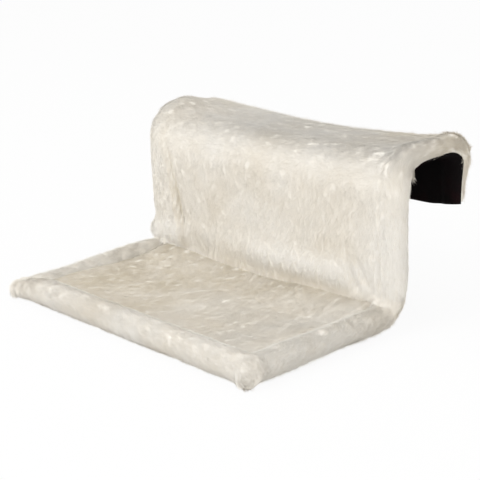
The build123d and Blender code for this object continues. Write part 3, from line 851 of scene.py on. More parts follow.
def cover_section(s, ends, z, x_line, axes):
    """One closed section of the cover: places across the bed, and depths from the tube's line."""
    width = by_side(x_line, axes, 0)
    depth = by_side(x_line, axes, 1)
    panel = panel_height(x_line, np.full_like(x_line, s), ends, np.full_like(x_line, z))
    distance = np.abs(x_line) - SIDE_X
    roll = depth * np.sqrt(np.clip(1.0 - (distance / width) ** 2, 0.0, None))
    edge = smoothstep(SIDE_X - width * 0.65, SIDE_X, np.abs(x_line))
    outer = soft_max(panel * (1.0 - edge), roll, 0.004) - crease_depth(x_line, s, ends)
    outer = np.where(np.abs(distance) < 1e-6, depth, outer)
    inner_x = np.linspace(SIDE_X, -SIDE_X, 90)
    cloth = LINING_DEPTH - sizes().lining_thickness
    inner = inner_profile(inner_x, by_side(inner_x, axes, 0), by_side(inner_x, axes, 2), cloth)
    half_turn = np.linspace(math.pi / 2, -math.pi / 2, 19)[1:-1]
    arcs = {}
    for sign in (1.0, -1.0):
        turn = half_turn if sign > 0 else half_turn[::-1]
        half_width, half_outer, half_inner = axes[sign]
        reach = np.where(turn > 0, half_outer, half_inner)
        arcs[sign] = (sign * (SIDE_X + half_width * np.cos(turn)), reach * np.sin(turn))
    xs = np.concatenate([x_line, arcs[1.0][0], inner_x, arcs[-1.0][0]])
    vs = np.concatenate([outer, arcs[1.0][1], inner, arcs[-1.0][1]])
    # the outer half is tucked in round the hem
    hem = np.clip((ends.leg - s) / HEM_ROUND, 0.0, 1.0)
    tuck = math.sqrt(max(1.0 - (1.0 - hem) ** 2, 0.0)) * 0.9 + 0.1
    return xs, np.where(vs > 0, vs * tuck, vs)


def placed_section(xs, vs, s, ends, spot, out):
    """A section's points in space. Round the lower bend its panel hangs straight between the rolls."""
    if s < ends.low:
        bend = smoothstep(PANEL_X - 0.008, PANEL_X + 0.006, np.abs(xs))
        centre_y = UPRIGHT_Y * (1 - bend) + spot[0] * bend
        centre_z = (LOWER_Z - (ends.low - s)) * (1 - bend) + spot[1] * bend
        normal_y = -1.0 * (1 - bend) + out[0] * bend
        normal_z = out[1] * bend
    else:
        centre_y = np.full_like(xs, spot[0])
        centre_z = np.full_like(xs, spot[1])
        normal_y = np.full_like(xs, out[0])
        normal_z = np.full_like(xs, out[1])
    centre_z = centre_z + hem_rise(xs, s, ends)
    return np.stack([xs, centre_y + vs * normal_y, centre_z + vs * normal_z], 1)


def cover_comb(xs, vs, s, ends, out):
    """Which way the pile of one section lies."""
    turn = float(smoothstep(ends.down - 0.014, ends.down + 0.006, s)) * 2.0 - 1.0
    beside = smoothstep(PANEL_X, SIDE_X, np.abs(xs))
    behind = smoothstep(0.0, 0.006, -vs) * beside
    # over the hook the hairs lie along the bend, so that they stay close to the cloth
    rising = smoothstep(ends.up - 0.02, ends.up + 0.01, s)
    bent = float(rising * smoothstep(ends.down + 0.02, ends.down, s))
    aside = bent * smoothstep(SIDE_X + 0.008, SIDE_X - 0.016, np.abs(xs))
    comb = np.zeros((len(xs), 3))
    comb[:, 0] = 0.12 * np.sign(xs) * beside - aside
    comb[:, 1] = out[1] * turn * (1.0 - 0.6 * aside) - out[0] * behind * 0.35
    comb[:, 2] = -out[0] * turn * (1.0 - 0.6 * aside) - out[1] * behind * 0.35
    return comb


def cover_layers(xs, vs, s, ends, z, axes):
    """How much pile of each region one section carries, and how dark it is."""
    # the lining takes over where the section turns in under the hook
    around = section_reach(xs, vs, axes)
    clothed = 1.0 - smoothstep(-0.0055, -0.001, around - (total_reach(axes) - lining_reach(s, ends)))
    if s < ends.low:
        bare = 0.013 - 0.011 * smoothstep(PANEL_X, PANEL_X + 0.004, np.abs(xs))
        clothed = clothed * smoothstep(bare, bare + 0.006, s)
    hem_gap = 1.0 - float(smoothstep(ends.leg - 0.012, ends.leg - 0.006, s))
    top = float(smoothstep(ends.up + 0.012, ends.up + 0.02, s))
    leg = float(smoothstep(ends.arm + 0.004, ends.arm + 0.012, s))
    return {
        "pile_back": clothed * (1.0 - top),
        "pile_top": clothed * top * (1.0 - leg),
        "pile_leg": clothed * leg * hem_gap,
        # painted shade in the folds and at the far side, and painted highlight on the puffs, for the pile's
        # colour
        "crease": painted_cover_shading(xs, s, ends, z),
        "shadow": top_shadow(xs, s, ends),
    }


def back_cover_rings():
    """Rings of the cover from the seat's rear corner, up the back, over the arms and down the leg."""
    along, ends, centre, normal = cover_run()
    x_line = across_stations()
    rings = []
    layers = []
    for s, spot, out in zip(along, centre, normal):
        axes = {1.0: roll_axes(s, ends, True), -1.0: roll_axes(s, ends, False)}
        xs, vs = cover_section(s, ends, spot[1], x_line, axes)
        rings.append(placed_section(xs, vs, s, ends, spot, out))
        layer = cover_layers(xs, vs, s, ends, spot[1], axes[1.0])
        layer["comb"] = cover_comb(xs, vs, s, ends, out)
        layers.append(layer)
    return rings, layers


def make_back_cover():
    """The cover's back, hook and rear leg, one sewn skin that stretches as the hook slides."""
    rings, layers = back_cover_rings()
    piece = mesh_from_rings("back_cover", rings, layers, "cream_backing")
    grow_pile(piece, "back_pile_left", "pile_back", 3850, left_half=True, loft=0.32, wild=0.4)
    grow_pile(piece, "back_pile_right", "pile_back", 3850, left_half=False, loft=0.32, wild=0.9)
    # painted shade: the pile on the hook's top is a little darker
    grow_pile(piece, "hook_top_pile", "pile_top", 3850, blended=True, loft=0.38, tone=-0.04, wild=0.9)
    grow_pile(piece, "hook_leg_pile", "pile_leg", 3700, body="hook", loft=0.6, tone=-0.02, wild=1.8)
    drop_layers(piece.data)
    cross_joint(piece)
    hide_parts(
        "left_back_sleeve",
        "right_back_sleeve",
        "back_plush",
        "back_pad",
        "left_arm_sleeve",
        "right_arm_sleeve",
        "hook_top_plush",
        "left_leg_sleeve",
        "right_leg_sleeve",
        "hook_leg_plush",
    )


def cross_joint(piece):
    """Lets a piece stretch where the hook slides out of the arms."""
    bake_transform(piece, "root", "hook", start=(0.0, BLEND_START, ARM_Z), end=(0.0, BLEND_END, ARM_Z))


def make_front_roll():
    """The bolster across the seat's front, with rounded ends and a drooping left corner."""
    pile = sizes().pile_depth
    radius = SEAT_R - 0.5 * pile
    half = front_high.x - 0.5 * pile
    start = -half - LEFT_OVERHANG
    left_cap = start + BLUNT_END * (1.0 - np.cos(np.linspace(0.05, math.pi / 2, 14)))
    length = np.linspace(start + BLUNT_END, half - ROUND_END, 110)
    right_cap = half - ROUND_END * (1.0 - np.cos(np.linspace(0.03, math.pi / 2, 14)))
    angles = np.linspace(0.0, 2.0 * math.pi, 49)[:-1]
    rings = []
    layers = []
    for x in np.unique(np.concatenate([left_cap, length, right_cap])):
        left = np.clip((x - start) / BLUNT_END, 0.0, 1.0)
        right = np.clip((half - x) / ROUND_END, 0.0, 1.0)
        close = math.sqrt(1.0 - (1.0 - left) ** 2.0) * math.sqrt(1.0 - (1.0 - right) ** 2.2)
        corner = float(1.0 - smoothstep(start, start + 0.045, x))
        slope = float(1.0 - smoothstep(start, start + 0.07, x))
        swell = 1.0 + FRONT_LUMPS * roll_lumps(x * 16.0, angles, 0.0)
        # the left corner is pushed forward and down, and its top slopes off
        forward = 0.2 * corner * bell(angles, 1.17 * math.pi, 0.75)
        end = float(smoothstep(half - 0.04, half - 0.012, x))
        fuller = 1.0 + (0.06 + 0.22 * end) * bell(angles, 1.3 * math.pi, 0.7)
        reach = radius * close * swell * (fuller + forward)
        ys = FRONT_Y + reach * np.cos(angles)
        rise = reach * np.sin(angles)
        zs = SEAT_Z + np.where(rise > 0, rise * (1.0 - 0.62 * slope), rise)
        zs = np.maximum(zs, FLOOR_CLEAR)
        rings.append(np.stack([np.full_like(angles, x), ys, zs], 1))
        comb = np.zeros((len(angles), 3))
        comb[:, 0] = 1.0 - 1.4 * corner - 0.6 * end
        comb[:, 1] = 0.35 * np.cos(angles)
        comb[:, 2] = -0.35 * (1.0 - end)
        layers.append({"comb": comb, "pile_front": smoothstep(-0.97, -0.72, np.sin(angles))})
    piece = mesh_from_rings("front_roll", rings, layers, "cream_backing")
    grow_pile(piece, "front_roll_pile", "pile_front", 3850, loft=0.5, wild=0.15)
    drop_layers(piece.data)
    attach(piece, "root")
    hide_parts("front_sleeve")


def make_seat_roll(side, sign):
    """One side roll of the seat, from the front roll to the turn into the back."""
    pile = sizes().pile_depth
    bend_y = UPRIGHT_Y - LOWER_BEND
    turn = math.radians(86.0)
    start = FRONT_Y + SEAT_R * 0.35
    flat = bend_y - start
    total = flat + LOWER_BEND * turn
    angles = np.linspace(0.0, 2.0 * math.pi, 49)[:-1]
    rings = []
    layers = []
    for s in np.linspace(0.0, total, 96):
        angle = 0.0
        centre_y = start + s
        centre_z = SEAT_Z
        if s >= flat:
            angle = (s - flat) / LOWER_BEND
            centre_y = bend_y + LOWER_BEND * math.sin(angle)
            centre_z = LOWER_Z - LOWER_BEND * math.cos(angle)
        share = s / total
        radius = SEAT_R - 0.95 * pile
        if sign < 0:
            radius = radius * (0.89 + 0.31 * float(smoothstep(0.2, 0.8, share)))
        radius = radius * (1.0 - 0.26 * float(smoothstep(0.8, 1.0, share)))
        # the side roll is drawn in below and outside, where the cloth is pulled round the tube
        pulled = 0.07 * float(smoothstep(0.3, 0.6, share)) + 0.1 * float(smoothstep(0.7, 0.9, share))
        pulled = pulled if sign > 0 else 0.25
        outside_down = bell(np.arctan2(np.sin(angles), sign * np.cos(angles)), -0.95, 0.9)
        loose = 1.0 - 0.35 * float(bell(share, 0.62, 0.1))
        swell = 1.0 + SIDE_LUMPS * roll_lumps(s * 15.0, angles, 5.0 * sign)
        swell = swell * (1.0 - pulled * outside_down * loose)
        across = radius * np.cos(angles) * swell * (1.0 + 0.05 * float(smoothstep(0.5, 0.1, share)))
        sunk = max(SEAT_R - 0.7 * pile - radius, 0.0) * (1.0 - share)
        rise = radius * np.sin(angles) * swell - sunk
        ys = centre_y - rise * math.sin(angle)
        zs = np.maximum(centre_z + rise * math.cos(angle), FLOOR_CLEAR)
        rings.append(np.stack([sign * SIDE_X + across, ys, zs], 1))
        comb = np.zeros((len(angles), 3))
        comb[:, 0] = (0.3 + 0.7 * float(bell(share, 0.62, 0.12))) * np.cos(angles)
        comb[:, 1] = -math.cos(angle)
        comb[:, 2] = -math.sin(angle) - 0.3
        shown = smoothstep(-0.95, -0.6, np.sin(angles)) * smoothstep(0.0, 0.006, s)
        # painted shade: the pile towards the roll's rear, where it turns up into the back, is made darker
        crease = np.full_like(angles, REAR_PAINTED_SHADE * float(smoothstep(0.4, 0.85, share)))
        layers.append({"comb": comb, "pile_seat": shown, "crease": crease})
    piece = mesh_from_rings(f"{side}_seat_roll", rings, layers, "cream_backing")
    locks = 1900 if sign > 0 else 1600
    # painted light: the side rolls' pile is made paler to stand in for more light on them
    grow_pile(piece, f"{side}_seat_roll_pile", "pile_seat", locks, loft=0.7, tone=0.12, wild=1.0)
    drop_layers(piece.data)
    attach(piece, "root")
    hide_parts(f"{side}_seat_sleeve")


def make_seat_panel():
    """The sunken seat: a slack padded panel with lumps, tucked in under the rolls and the back."""
    pile = sizes().pile_depth
    half = seat_high.x + 0.004
    front = FRONT_Y + SEAT_R * 0.7
    rear = UPRIGHT_Y + 0.004
    under = underside_high.z
    xs = np.linspace(-half, half, 120)
    inner_x = xs[::-1][1:-1]
    ring_x = np.concatenate([xs, inner_x])
    rings = []
    layers = []
    for y in np.linspace(front, rear, 84):
        share = (y - front) / (rear - front)
        hollow = (1.0 - np.abs(xs / half) ** 2.4) * (1.0 - (2.0 * share - 1.0) ** 4)
        edge_z = seat_high.z - pile
        top = edge_z - SEAT_HOLLOW * hollow + SEAT_RISE * smoothstep(0.62, 0.94, share)
        wave = lumps(xs, y, 13.0, 1.7) + 0.2 * lumps(xs, y, 30.0, 6.2)
        top = top + 1.2 * sizes().lump_height * wave
        rim = np.minimum((half - np.abs(xs)) / 0.006, 1.0)
        close = np.sqrt(np.clip(1.0 - (1.0 - rim) ** 2, 0.0, 1.0))
        ends = min(share / 0.03, (1.0 - share) / 0.03, 1.0)
        close = close * math.sqrt(1.0 - (1.0 - max(ends, 0.02)) ** 2)
        zs = under + (top - under) * close
        ring_z = np.concatenate([zs, np.full_like(inner_x, under)])
        rings.append(np.stack([ring_x, np.full_like(ring_x, y), ring_z], 1))
        swirl = lumps(ring_x, y, 9.0, 4.4) * 0.7
        comb = np.stack([np.sin(swirl) - 0.3, -np.cos(swirl), np.zeros_like(ring_x)], 1)
        shown = smoothstep(half, half - 0.008, np.abs(xs)) * smoothstep(0.0, 0.04, share)
        shown = shown * smoothstep(0.96, 0.92, share)
        shown = np.concatenate([shown, np.zeros_like(inner_x)])
        # painted shade: the pile is made darker along the seat's rear edge, by the back, and towards its left
        # side
        shade = 0.6 * float(bell(share, 0.95, 0.09)) + 0.6 * smoothstep(0.16, -0.16, ring_x)
        layers.append({"comb": comb, "pile_panel": shown, "crease": FOLD_PAINTED_SHADE * shade})
    piece = mesh_from_rings("seat_panel", rings, layers, "cream_backing")
    # painted shade: the seat's pile is made darker and warmer, for the shade on the sunken seat
    grow_pile(piece, "seat_pile_left", "pile_panel", 3300, left_half=True, loft=0.32, tone=-0.2, wild=0.0)
    grow_pile(piece, "seat_pile_right", "pile_panel", 3850, left_half=False, loft=0.32, tone=-0.2, wild=0.0)
    drop_layers(piece.data)
    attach(piece, "root")
    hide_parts("seat_plush", "seat_pad")


def drop_layers(mesh):
    """Removes every attribute that only the growing of the pile needs."""
    for name in [layer.name for layer in mesh.attributes]:
        if name in HELPERS or name.startswith("pile_"):
            mesh.attributes.remove(mesh.attributes[name])


def read_layer(mesh, name):
    """An attribute's values, one for each point."""
    values = np.zeros(len(mesh.vertices))
    mesh.attributes[name].data.foreach_get("value", values)
    return values


def add_layer(mesh, name, values):
    """A new attribute with one value for each point."""
    layer = mesh.attributes.new(name, "FLOAT", "POINT")
    layer.data.foreach_set("value", values)


def lock_object():
    """One lock of the pile: hairs that rise from the cloth and lie over along X."""
    existing = bpy.data.objects.get("pile_lock")
    if existing:
        return existing
    size = sizes()
    points = []
    faces = []
    along = []
    tints = []
    for i in range(CURVED_HAIRS + STRAIGHT_HAIRS):
        base = len(points)
        curved = i < CURVED_HAIRS
        turn = i * GOLDEN_ANGLE
        root = size.lock_spread * math.sqrt((i + 0.5) / (CURVED_HAIRS + STRAIGHT_HAIRS))
        length = size.strand_length * (0.82 + 0.32 * ((i * 0.618) % 1.0))
        lift = size.pile_depth * (STRAY_LIFT if curved else 0.8 + 0.35 * ((i * 0.382 + 0.3) % 1.0))
        start = Vector((root * math.cos(turn), root * math.sin(turn), ROOT_SINK))
        aside = -0.35 * root * math.sin(turn)
        stages = [(start, 1.0, 0.02)]
        if curved:
            stages.append((start + Vector((length * 0.4, aside * 0.6, lift * 0.9)), 0.85, 0.45))
        tip = start + Vector((length * 0.95, aside, lift))
        for spot, share, place in stages:
            width = size.strand_width * share * (STRAY_WIDTH if curved else 1.0)
            for side, height in ((-0.5, 0.0), (0.5, 0.0), (0.0, 0.35)):
                points.append(spot + Vector((0.0, side * width, height * width)))
                along.append(place)
        points.append(tip)
        along.append(0.98)
        last = base + 3 * (len(stages) - 1)
        for j in range(3):
            k = (j + 1) % 3
            if last > base:
                faces.append((base + j, base + k, last + k, last + j))
            faces.append((last + j, last + k, last + 3))
        faces.append((base + 2, base + 1, base))
        tints += [math.sin(i * 2.3)] * (len(points) - base)
    mesh = bpy.data.meshes.new("pile_lock")
    mesh.from_pydata([tuple(p) for p in points], [], faces)
    add_layer(mesh, "along", along)
    add_layer(mesh, "tint", tints)
    outward(mesh)
    return bpy.data.objects.new("pile_lock", mesh)


def named(graph, kind, name):
    """A named attribute of the geometry."""
    return graph.out(graph.add("GeometryNodeInputNamedAttribute", {"data_type": kind}, {"Name": name}))


def store(graph, geometry, kind, domain, name, value):
    """The geometry with a named attribute stored on it."""
    settings = {"data_type": kind, "domain": domain}
    inputs = {"Geometry": geometry, "Name": name, "Value": value}
    return graph.out(graph.add("GeometryNodeStoreNamedAttribute", settings, inputs))


def spread(graph, low, high, seed):
    """Random numbers between two limits."""
    inputs = {2: low, 3: high, "Seed": seed}
    return graph.out(graph.add("FunctionNodeRandomValue", {"data_type": "FLOAT"}, inputs), 1)


def spread_vector(graph, reach, seed):
    """Random vectors about zero."""
    inputs = {0: (-reach, -reach, -reach), 1: (reach, reach, reach), "Seed": seed}
    return graph.out(graph.add("FunctionNodeRandomValue", {"data_type": "FLOAT_VECTOR"}, inputs))


def centred_noise(graph, place, scale, amount):
    """Vector noise about zero."""
    inputs = {"Vector": place, "Scale": scale, "Detail": 2.0, "Roughness": 0.55}
    node = graph.add("ShaderNodeTexNoise", {"noise_dimensions": "3D"}, inputs)
    centred = graph.vector_math("SUBTRACT", graph.out(node, "Color"), (0.5, 0.5, 0.5))
    return graph.vector_scale(centred, amount)


def planted_locks(graph, given, place):
    """A lock at each scattered point, combed and lofted, with its shade and the cloth's normal."""
    region = named(graph, "FLOAT", graph.out(given, "Region"))
    inputs = {
        "Mesh": graph.out(given, "Geometry"),
        "Density": graph.out(given, "Density") * region,
        "Seed": graph.out(given, "Seed"),
    }
    scatter = graph.add("GeometryNodeDistributePointsOnFaces", {"distribute_method": "RANDOM"}, inputs)
    normal = graph.out(scatter, "Normal")
    # the hairs of one patch lean together, and each lock adds a little of its own
    parting = centred_noise(graph, place, scale=14.0, amount=0.7)
    way = graph.vector_math("ADD", named(graph, "FLOAT_VECTOR", "comb"), parting)
    way = graph.vector_math("ADD", way, spread_vector(graph, LOCK_LEAN, 11))
    upright = graph.vector_math("ADD", normal, spread_vector(graph, LOCK_TILT, 23))
    settings = {"primary_axis": "Z", "secondary_axis": "X"}
    turn = graph.add("FunctionNodeAxesToRotation", settings, {0: upright, 1: way})
    # some locks stand up more than others, and a few far more
    wild = spread(graph, 0.0, 1.0, 43) ** WILD_POWER * graph.out(given, "Wild")
    height = (spread(graph, 0.92, 1.04, 37) + wild) * graph.out(given, "Loft")
    broad = graph.noise(place, scale=9.0, detail=2.0)
    close = graph.noise(place, scale=40.0, detail=2.0)
    shade = broad * 0.8 + close * 0.3 + spread(graph, -0.03, 0.03, 41)
    # the piece's tone, itself partly painted light and shade, and the skin's painted shade and highlight move
    # each lock's colour
    shade = shade + graph.out(given, "Tone") - named(graph, "FLOAT", "crease")
    marked = store(graph, graph.out(scatter, "Points"), "FLOAT", "POINT", "shade", shade)
    marked = store(graph, marked, "FLOAT_VECTOR", "POINT", "facing", normal)
    lock = graph.add("GeometryNodeObjectInfo", None, {"Object": graph.out(given, "Lock")})
    inputs = {
        "Points": marked,
        "Instance": graph.out(lock, "Geometry"),
        "Rotation": graph.out(turn),
        "Scale": graph.join(spread(graph, 0.85, 1.15, 31), 1.0, height),
    }
    planted = graph.out(graph.add("GeometryNodeInstanceOnPoints", None, inputs))
    return graph.out(graph.add("GeometryNodeRealizeInstances", None, {0: planted}))


def settled_hairs(graph, hairs, place):
    """The hairs kept above the floor, with a normal that is mostly the cloth's, as in a pale pile."""
    x, y, z = graph.split(place)
    kept = graph.join(x, y, z.math("MAXIMUM", z, FLOOR_CLEAR))
    settled = graph.add("GeometryNodeSetPosition", None, {"Geometry": hairs, "Position": kept})
    own = graph.vector_scale(graph.out(graph.add("GeometryNodeInputNormal")), OWN_NORMAL)
    soft = graph.vector_math("ADD", named(graph, "FLOAT_VECTOR", "facing"), own)
    soft = graph.vector_math("NORMALIZE", soft, (0.0, 0.0, 0.0))
    settings = {"mode": "FREE", "domain": "POINT"}
    inputs = {"Mesh": graph.out(settled), "Custom Normal": soft}
    return graph.out(graph.add("GeometryNodeSetMeshNormal", settings, inputs))


def hair_map(graph):
    """A hair's place on the map: shade across, and light upwards, with a little width for each hair."""
    jitter = spread(graph, -MAP_WIDTH, MAP_WIDTH, 5)
    tone = (named(graph, "FLOAT", "shade") + named(graph, "FLOAT", "tint") * TINT_SHARE).clamp()
    tip_light = (named(graph, "FLOAT", "along") * 0.06 + 0.955).clamp()
    lit_share = tip_light * (1.0 - named(graph, "FLOAT", "shadow"))
    row = (lit_share - DEEPEST) * (1.0 / (1.0 - DEEPEST))
    return graph.join(tone * 0.96 + 0.02 + jitter, row, 0.0)


def pile_tree():
    """The Geometry Nodes tree that grows a pile on a skin, combed along its own attribute."""
    existing = bpy.data.node_groups.get("grow_pile")
    if existing:
        return existing
    tree = bpy.data.node_groups.new("grow_pile", "GeometryNodeTree")
    face = tree.interface
    face.new_socket(name="Geometry", in_out="OUTPUT", socket_type="NodeSocketGeometry")
    for name, kind in PILE_INPUTS:
        face.new_socket(name=name, in_out="INPUT", socket_type=kind)
    graph = Graph(tree)
    given = graph.add("NodeGroupInput")
    place = graph.out(graph.add("GeometryNodeInputPosition"))
    hairs = settled_hairs(graph, planted_locks(graph, given, place), place)
    mapped = store(graph, hairs, "FLOAT2", "CORNER", "OFBake", hair_map(graph))
    inputs = {"Geometry": mapped, "Material": graph.out(given, "Material")}
    finished = graph.add("GeometryNodeSetMaterial", None, inputs)
    graph.add("NodeGroupOutput", None, {0: graph.out(finished)})
    return tree


def region_area(mesh, region):
    """The skin's area, each face weighted by how much pile it carries."""
    weights = read_layer(mesh, region)
    total = 0.0
    for polygon in mesh.polygons:
        total += polygon.area * weights[list(polygon.vertices)].mean()
    return total


def half_region(mesh, region, left):
    """Keeps a region's pile on the left or the right of the middle, and gives the new region's name."""
    xs = np.array([v.co.x for v in mesh.vertices])
    share = smoothstep(-0.004, 0.004, xs)
    name = region + ("_left" if left else "_right")
    add_layer(mesh, name, read_layer(mesh, region) * ((1.0 - share) if left else share))
    return name


def grow_pile(
    skin, name, region, locks, left_half=None, body="root", blended=False, loft=0.55, tone=0.0, wild=0.12
):
    """Grows one piece of pile on a region of a skin, as plain mesh.

    Loft is how high the locks stand, tone how pale they are, which on the seat and the hook's top is a
    painted shade and on the side rolls a painted light, and wild how far a few of them stand out.
    """
    carrier = skin.copy()
    carrier.data = skin.data.copy()
    bpy.context.scene.collection.objects.link(carrier)
    if left_half is not None:
        region = half_region(carrier.data, region, left_half)
    modifier = carrier.modifiers.new("pile", "NODES")
    modifier.node_group = pile_tree()
    given = {
        "Lock": lock_object(),
        "Density": locks / region_area(carrier.data, region),
        "Region": region,
        "Loft": loft,
        "Tone": tone,
        "Wild": wild,
        "Seed": bpy.context.scene.bed_view.seed + len(name),
        "Material": material("cream_pile"),
    }
    for item in modifier.node_group.interface.items_tree:
        if item.name in given:
            modifier[item.identifier] = given[item.name]
    bpy.context.view_layer.update()
    graph = bpy.context.evaluated_depsgraph_get()
    mesh = bpy.data.meshes.new_from_object(carrier.evaluated_get(graph))
    bpy.data.objects.remove(carrier)
    mesh.name = name
    drop_layers(mesh)
    pile = bpy.data.objects.new(name, mesh)
    bpy.context.scene.collection.objects.link(pile)
    if blended:
        cross_joint(pile)
    else:
        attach(pile, body)


def make_throat_lining():
    """The dark cloth down the back, round the hook's inner side and down the rear leg's inner side."""
    along, ends, centre, normal = cover_run()
    thick = sizes().lining_thickness
    across = np.linspace(-1.0, 1.0, 111)
    rings = []
    for s, spot, out in zip(along, centre, normal):
        if s < ends.low:
            spot = (UPRIGHT_Y, LOWER_Z - (ends.low - s))
            out = (-1.0, 0.0)
        if spot[1] < lining_low.z and s < ends.up:
            continue
        axes = roll_axes(s, ends, True)
        width, _, inner = axes
        cloth = across * lining_reach(s, ends)
        on_roll = np.clip((np.abs(cloth) - SIDE_X) / quarter_arc(axes), 0.0, 1.0) * math.pi / 2 - math.pi / 2
        turned = np.abs(cloth) > SIDE_X
        wrinkle = 0.0006 * lumps(cloth, s, 26.0, 2.6)
        wrinkle = wrinkle + 0.0003 * lumps(cloth, s * 2.2, 60.0, 9.1)
        layers = []
        for lift in (LINING_GAP, LINING_GAP + thick):
            flat = inner_profile(cloth, width, inner, LINING_DEPTH - thick) - lift + wrinkle
            x = np.where(turned, np.sign(cloth) * (SIDE_X + (width + lift) * np.cos(on_roll)), cloth)
            v = np.where(turned, (inner + lift - wrinkle) * np.sin(on_roll), flat)
            layers.append((x, v))
        x = np.concatenate([layers[0][0], layers[1][0][::-1]])
        v = np.concatenate([layers[0][1], layers[1][1][::-1]])
        z = spot[1] + v * out[1] + hem_rise(x, s, ends)
        rings.append(np.stack([x, spot[0] + v * out[0], z], 1))
    # the hem hangs a little lower than the plush
    hem = rings[-1].copy()
    hem[:, 2] -= LINING_HEM
    rings.append(hem)
    rings = np.array(rings)
    piece = mesh_from_rings("throat_lining", rings, [], "dark_lining")
    cross_joint(piece)
    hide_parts("back_lining", "hook_top_lining", "hook_leg_lining")


def sheet_ring(xs, y, top, bottom):
    """One ring of a flat sheet: along its top to the right, and back along its underside."""
    ring_x = np.concatenate([xs, xs[::-1]])
    return np.stack([ring_x, np.full_like(ring_x, y), np.concatenate([top, bottom[::-1]])], 1)


def make_underside():
    """The dark cloth under the seat."""
    thick = sizes().lining_thickness
    xs = np.linspace(underside_low.x, underside_high.x, 70)
    ys = np.linspace(underside_low.y, underside_high.y + 0.008, 40)
    rings = []
    for y in ys:
        wrinkle = 0.0006 * lumps(xs, y, 24.0, 7.7)
        rings.append(sheet_ring(xs, y, underside_high.z + wrinkle, underside_high.z - thick + wrinkle))
    piece = mesh_from_rings("seat_underside", rings, [], "dark_lining")
    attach(piece, "root")
    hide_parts("seat_lining")


def make_closure_flap():
    """The flap that closes the cover's opening under the seat, with a turned front hem."""
    thick = sizes().lining_thickness
    half = flap_high.x
    tape_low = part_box("closure_hook_tape")[0]
    floor_z = tape_low.z - thick
    xs = np.linspace(-half, half, 70)
    rings = []
    for y in np.linspace(flap_low.y, flap_high.y, 30):
        near = smoothstep(flap_high.y - 0.03, flap_high.y - 0.004, y)
        z = floor_z + near * (underside_low.z - tape_low.z - 0.0002)
        fold = 0.0007 * (1.0 - smoothstep(flap_low.y + FLAP_HEM - 0.001, flap_low.y + FLAP_HEM, y))
        wrinkle = 0.0004 * lumps(xs, y, 40.0, 5.3) * smoothstep(flap_low.y, flap_high.y, y)
        rings.append(sheet_ring(xs, y, z + thick + 0.0 * xs, z - fold - np.abs(wrinkle)))
    piece = mesh_from_rings("underside_flap", rings, [], "dark_lining")
    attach(piece, "root")
    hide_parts("closure_flap")


def finish_frame():
    """Gives every shown piece of the frame its own finish."""
    finishes = {
        "powder_coat": [
            "left_side_tube",
            "right_side_tube",
            "front_cross_tube",
            "rear_cross_tube",
            "hook_frame",
        ],
        "zinc_plating": ["front_bolts", "rear_bolts", "lock_nuts", "left_lock_screw", "right_lock_screw"],
        "moulded_plastic": ["front_tube_caps", "side_tube_inserts", "cross_tube_inserts"],
        "loop_tape": ["closure_hook_tape", "closure_loop_tape"],
    }
    for finish, nodes in finishes.items():
        for node in nodes:
            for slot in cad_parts[node].material_slots:
                slot.material = material(finish)


def make_camera():
    """The camera, at the photograph's viewing angle."""
    view = bpy.context.scene.bed_view
    a = view.azimuth
    e = view.elevation
    right = Vector((math.cos(a), math.sin(a), 0.0))
    up = Vector((-math.sin(a) * math.sin(e), math.cos(a) * math.sin(e), math.cos(e)))
    back = Vector((math.sin(a) * math.cos(e), -math.cos(a) * math.cos(e), math.sin(e)))
    rolled_right = right * math.cos(view.roll) - up * math.sin(view.roll)
    rolled_up = right * math.sin(view.roll) + up * math.cos(view.roll)
    data = bpy.data.cameras.new("camera")
    data.sensor_fit = "HORIZONTAL"
    data.sensor_width = 36.0
    data.lens = view.lens
    camera = bpy.data.objects.new("camera", data)
    matrix = Matrix((rolled_right, rolled_up, back)).transposed().to_4x4()
    matrix.translation = right * view.aim_right + up * view.aim_up + back * view.distance
    camera.matrix_world = matrix
    bpy.context.scene.collection.objects.link(camera)
    bpy.context.scene.camera = camera


def area_light(name, place, side, power, colour):
    """A square soft light that looks at the bed."""
    data = bpy.data.lights.new(name, "AREA")
    data.shape = "SQUARE"
    data.size = side
    data.energy = power
    data.color = colour
    light = bpy.data.objects.new(name, data)
    direction = Vector(LIGHT_AIM) - Vector(place)
    light.rotation_euler = direction.to_track_quat("-Z", "Y").to_euler()
    light.location = place
    bpy.context.scene.collection.objects.link(light)


def seen_share(graph):
    """1 where the camera, a reflection or a clear piece sees the surface."""
    ray = graph.add("ShaderNodeLightPath")
    seen = graph.out(ray, "Is Camera Ray") + graph.out(ray, "Is Glossy Ray")
    return seen + graph.out(ray, "Is Transmission Ray")


def stage_material():
    """White to the camera and in reflections, but lit as plain paint, so that it keeps a soft shadow."""
    made, graph = new_material("studio_paint")
    paint = graph.add("ShaderNodeBsdfDiffuse", None, {"Color": opaque(colours().floor)})
    glow = graph.add("ShaderNodeEmission", None, {"Color": WHITE, "Strength": 1.0})
    inputs = {0: (seen_share(graph) * GLOW_SHARE).clamp(), 1: graph.out(paint), 2: graph.out(glow)}
    both = graph.add("ShaderNodeMixShader", None, inputs)
    graph.add("ShaderNodeOutputMaterial", None, {"Surface": graph.out(both)})
    return made


def make_floor():
    """The studio's floor."""
    mesh = bpy.data.meshes.new("floor")
    corners = [(-1, -1), (1, -1), (1, 1), (-1, 1)]
    mesh.from_pydata([(x * FLOOR_REACH, y * FLOOR_REACH, 0.0) for x, y in corners], [], [(0, 1, 2, 3)])
    mesh.materials.append(stage_material())
    floor = bpy.data.objects.new("floor", mesh)
    bpy.context.scene.collection.objects.link(floor)


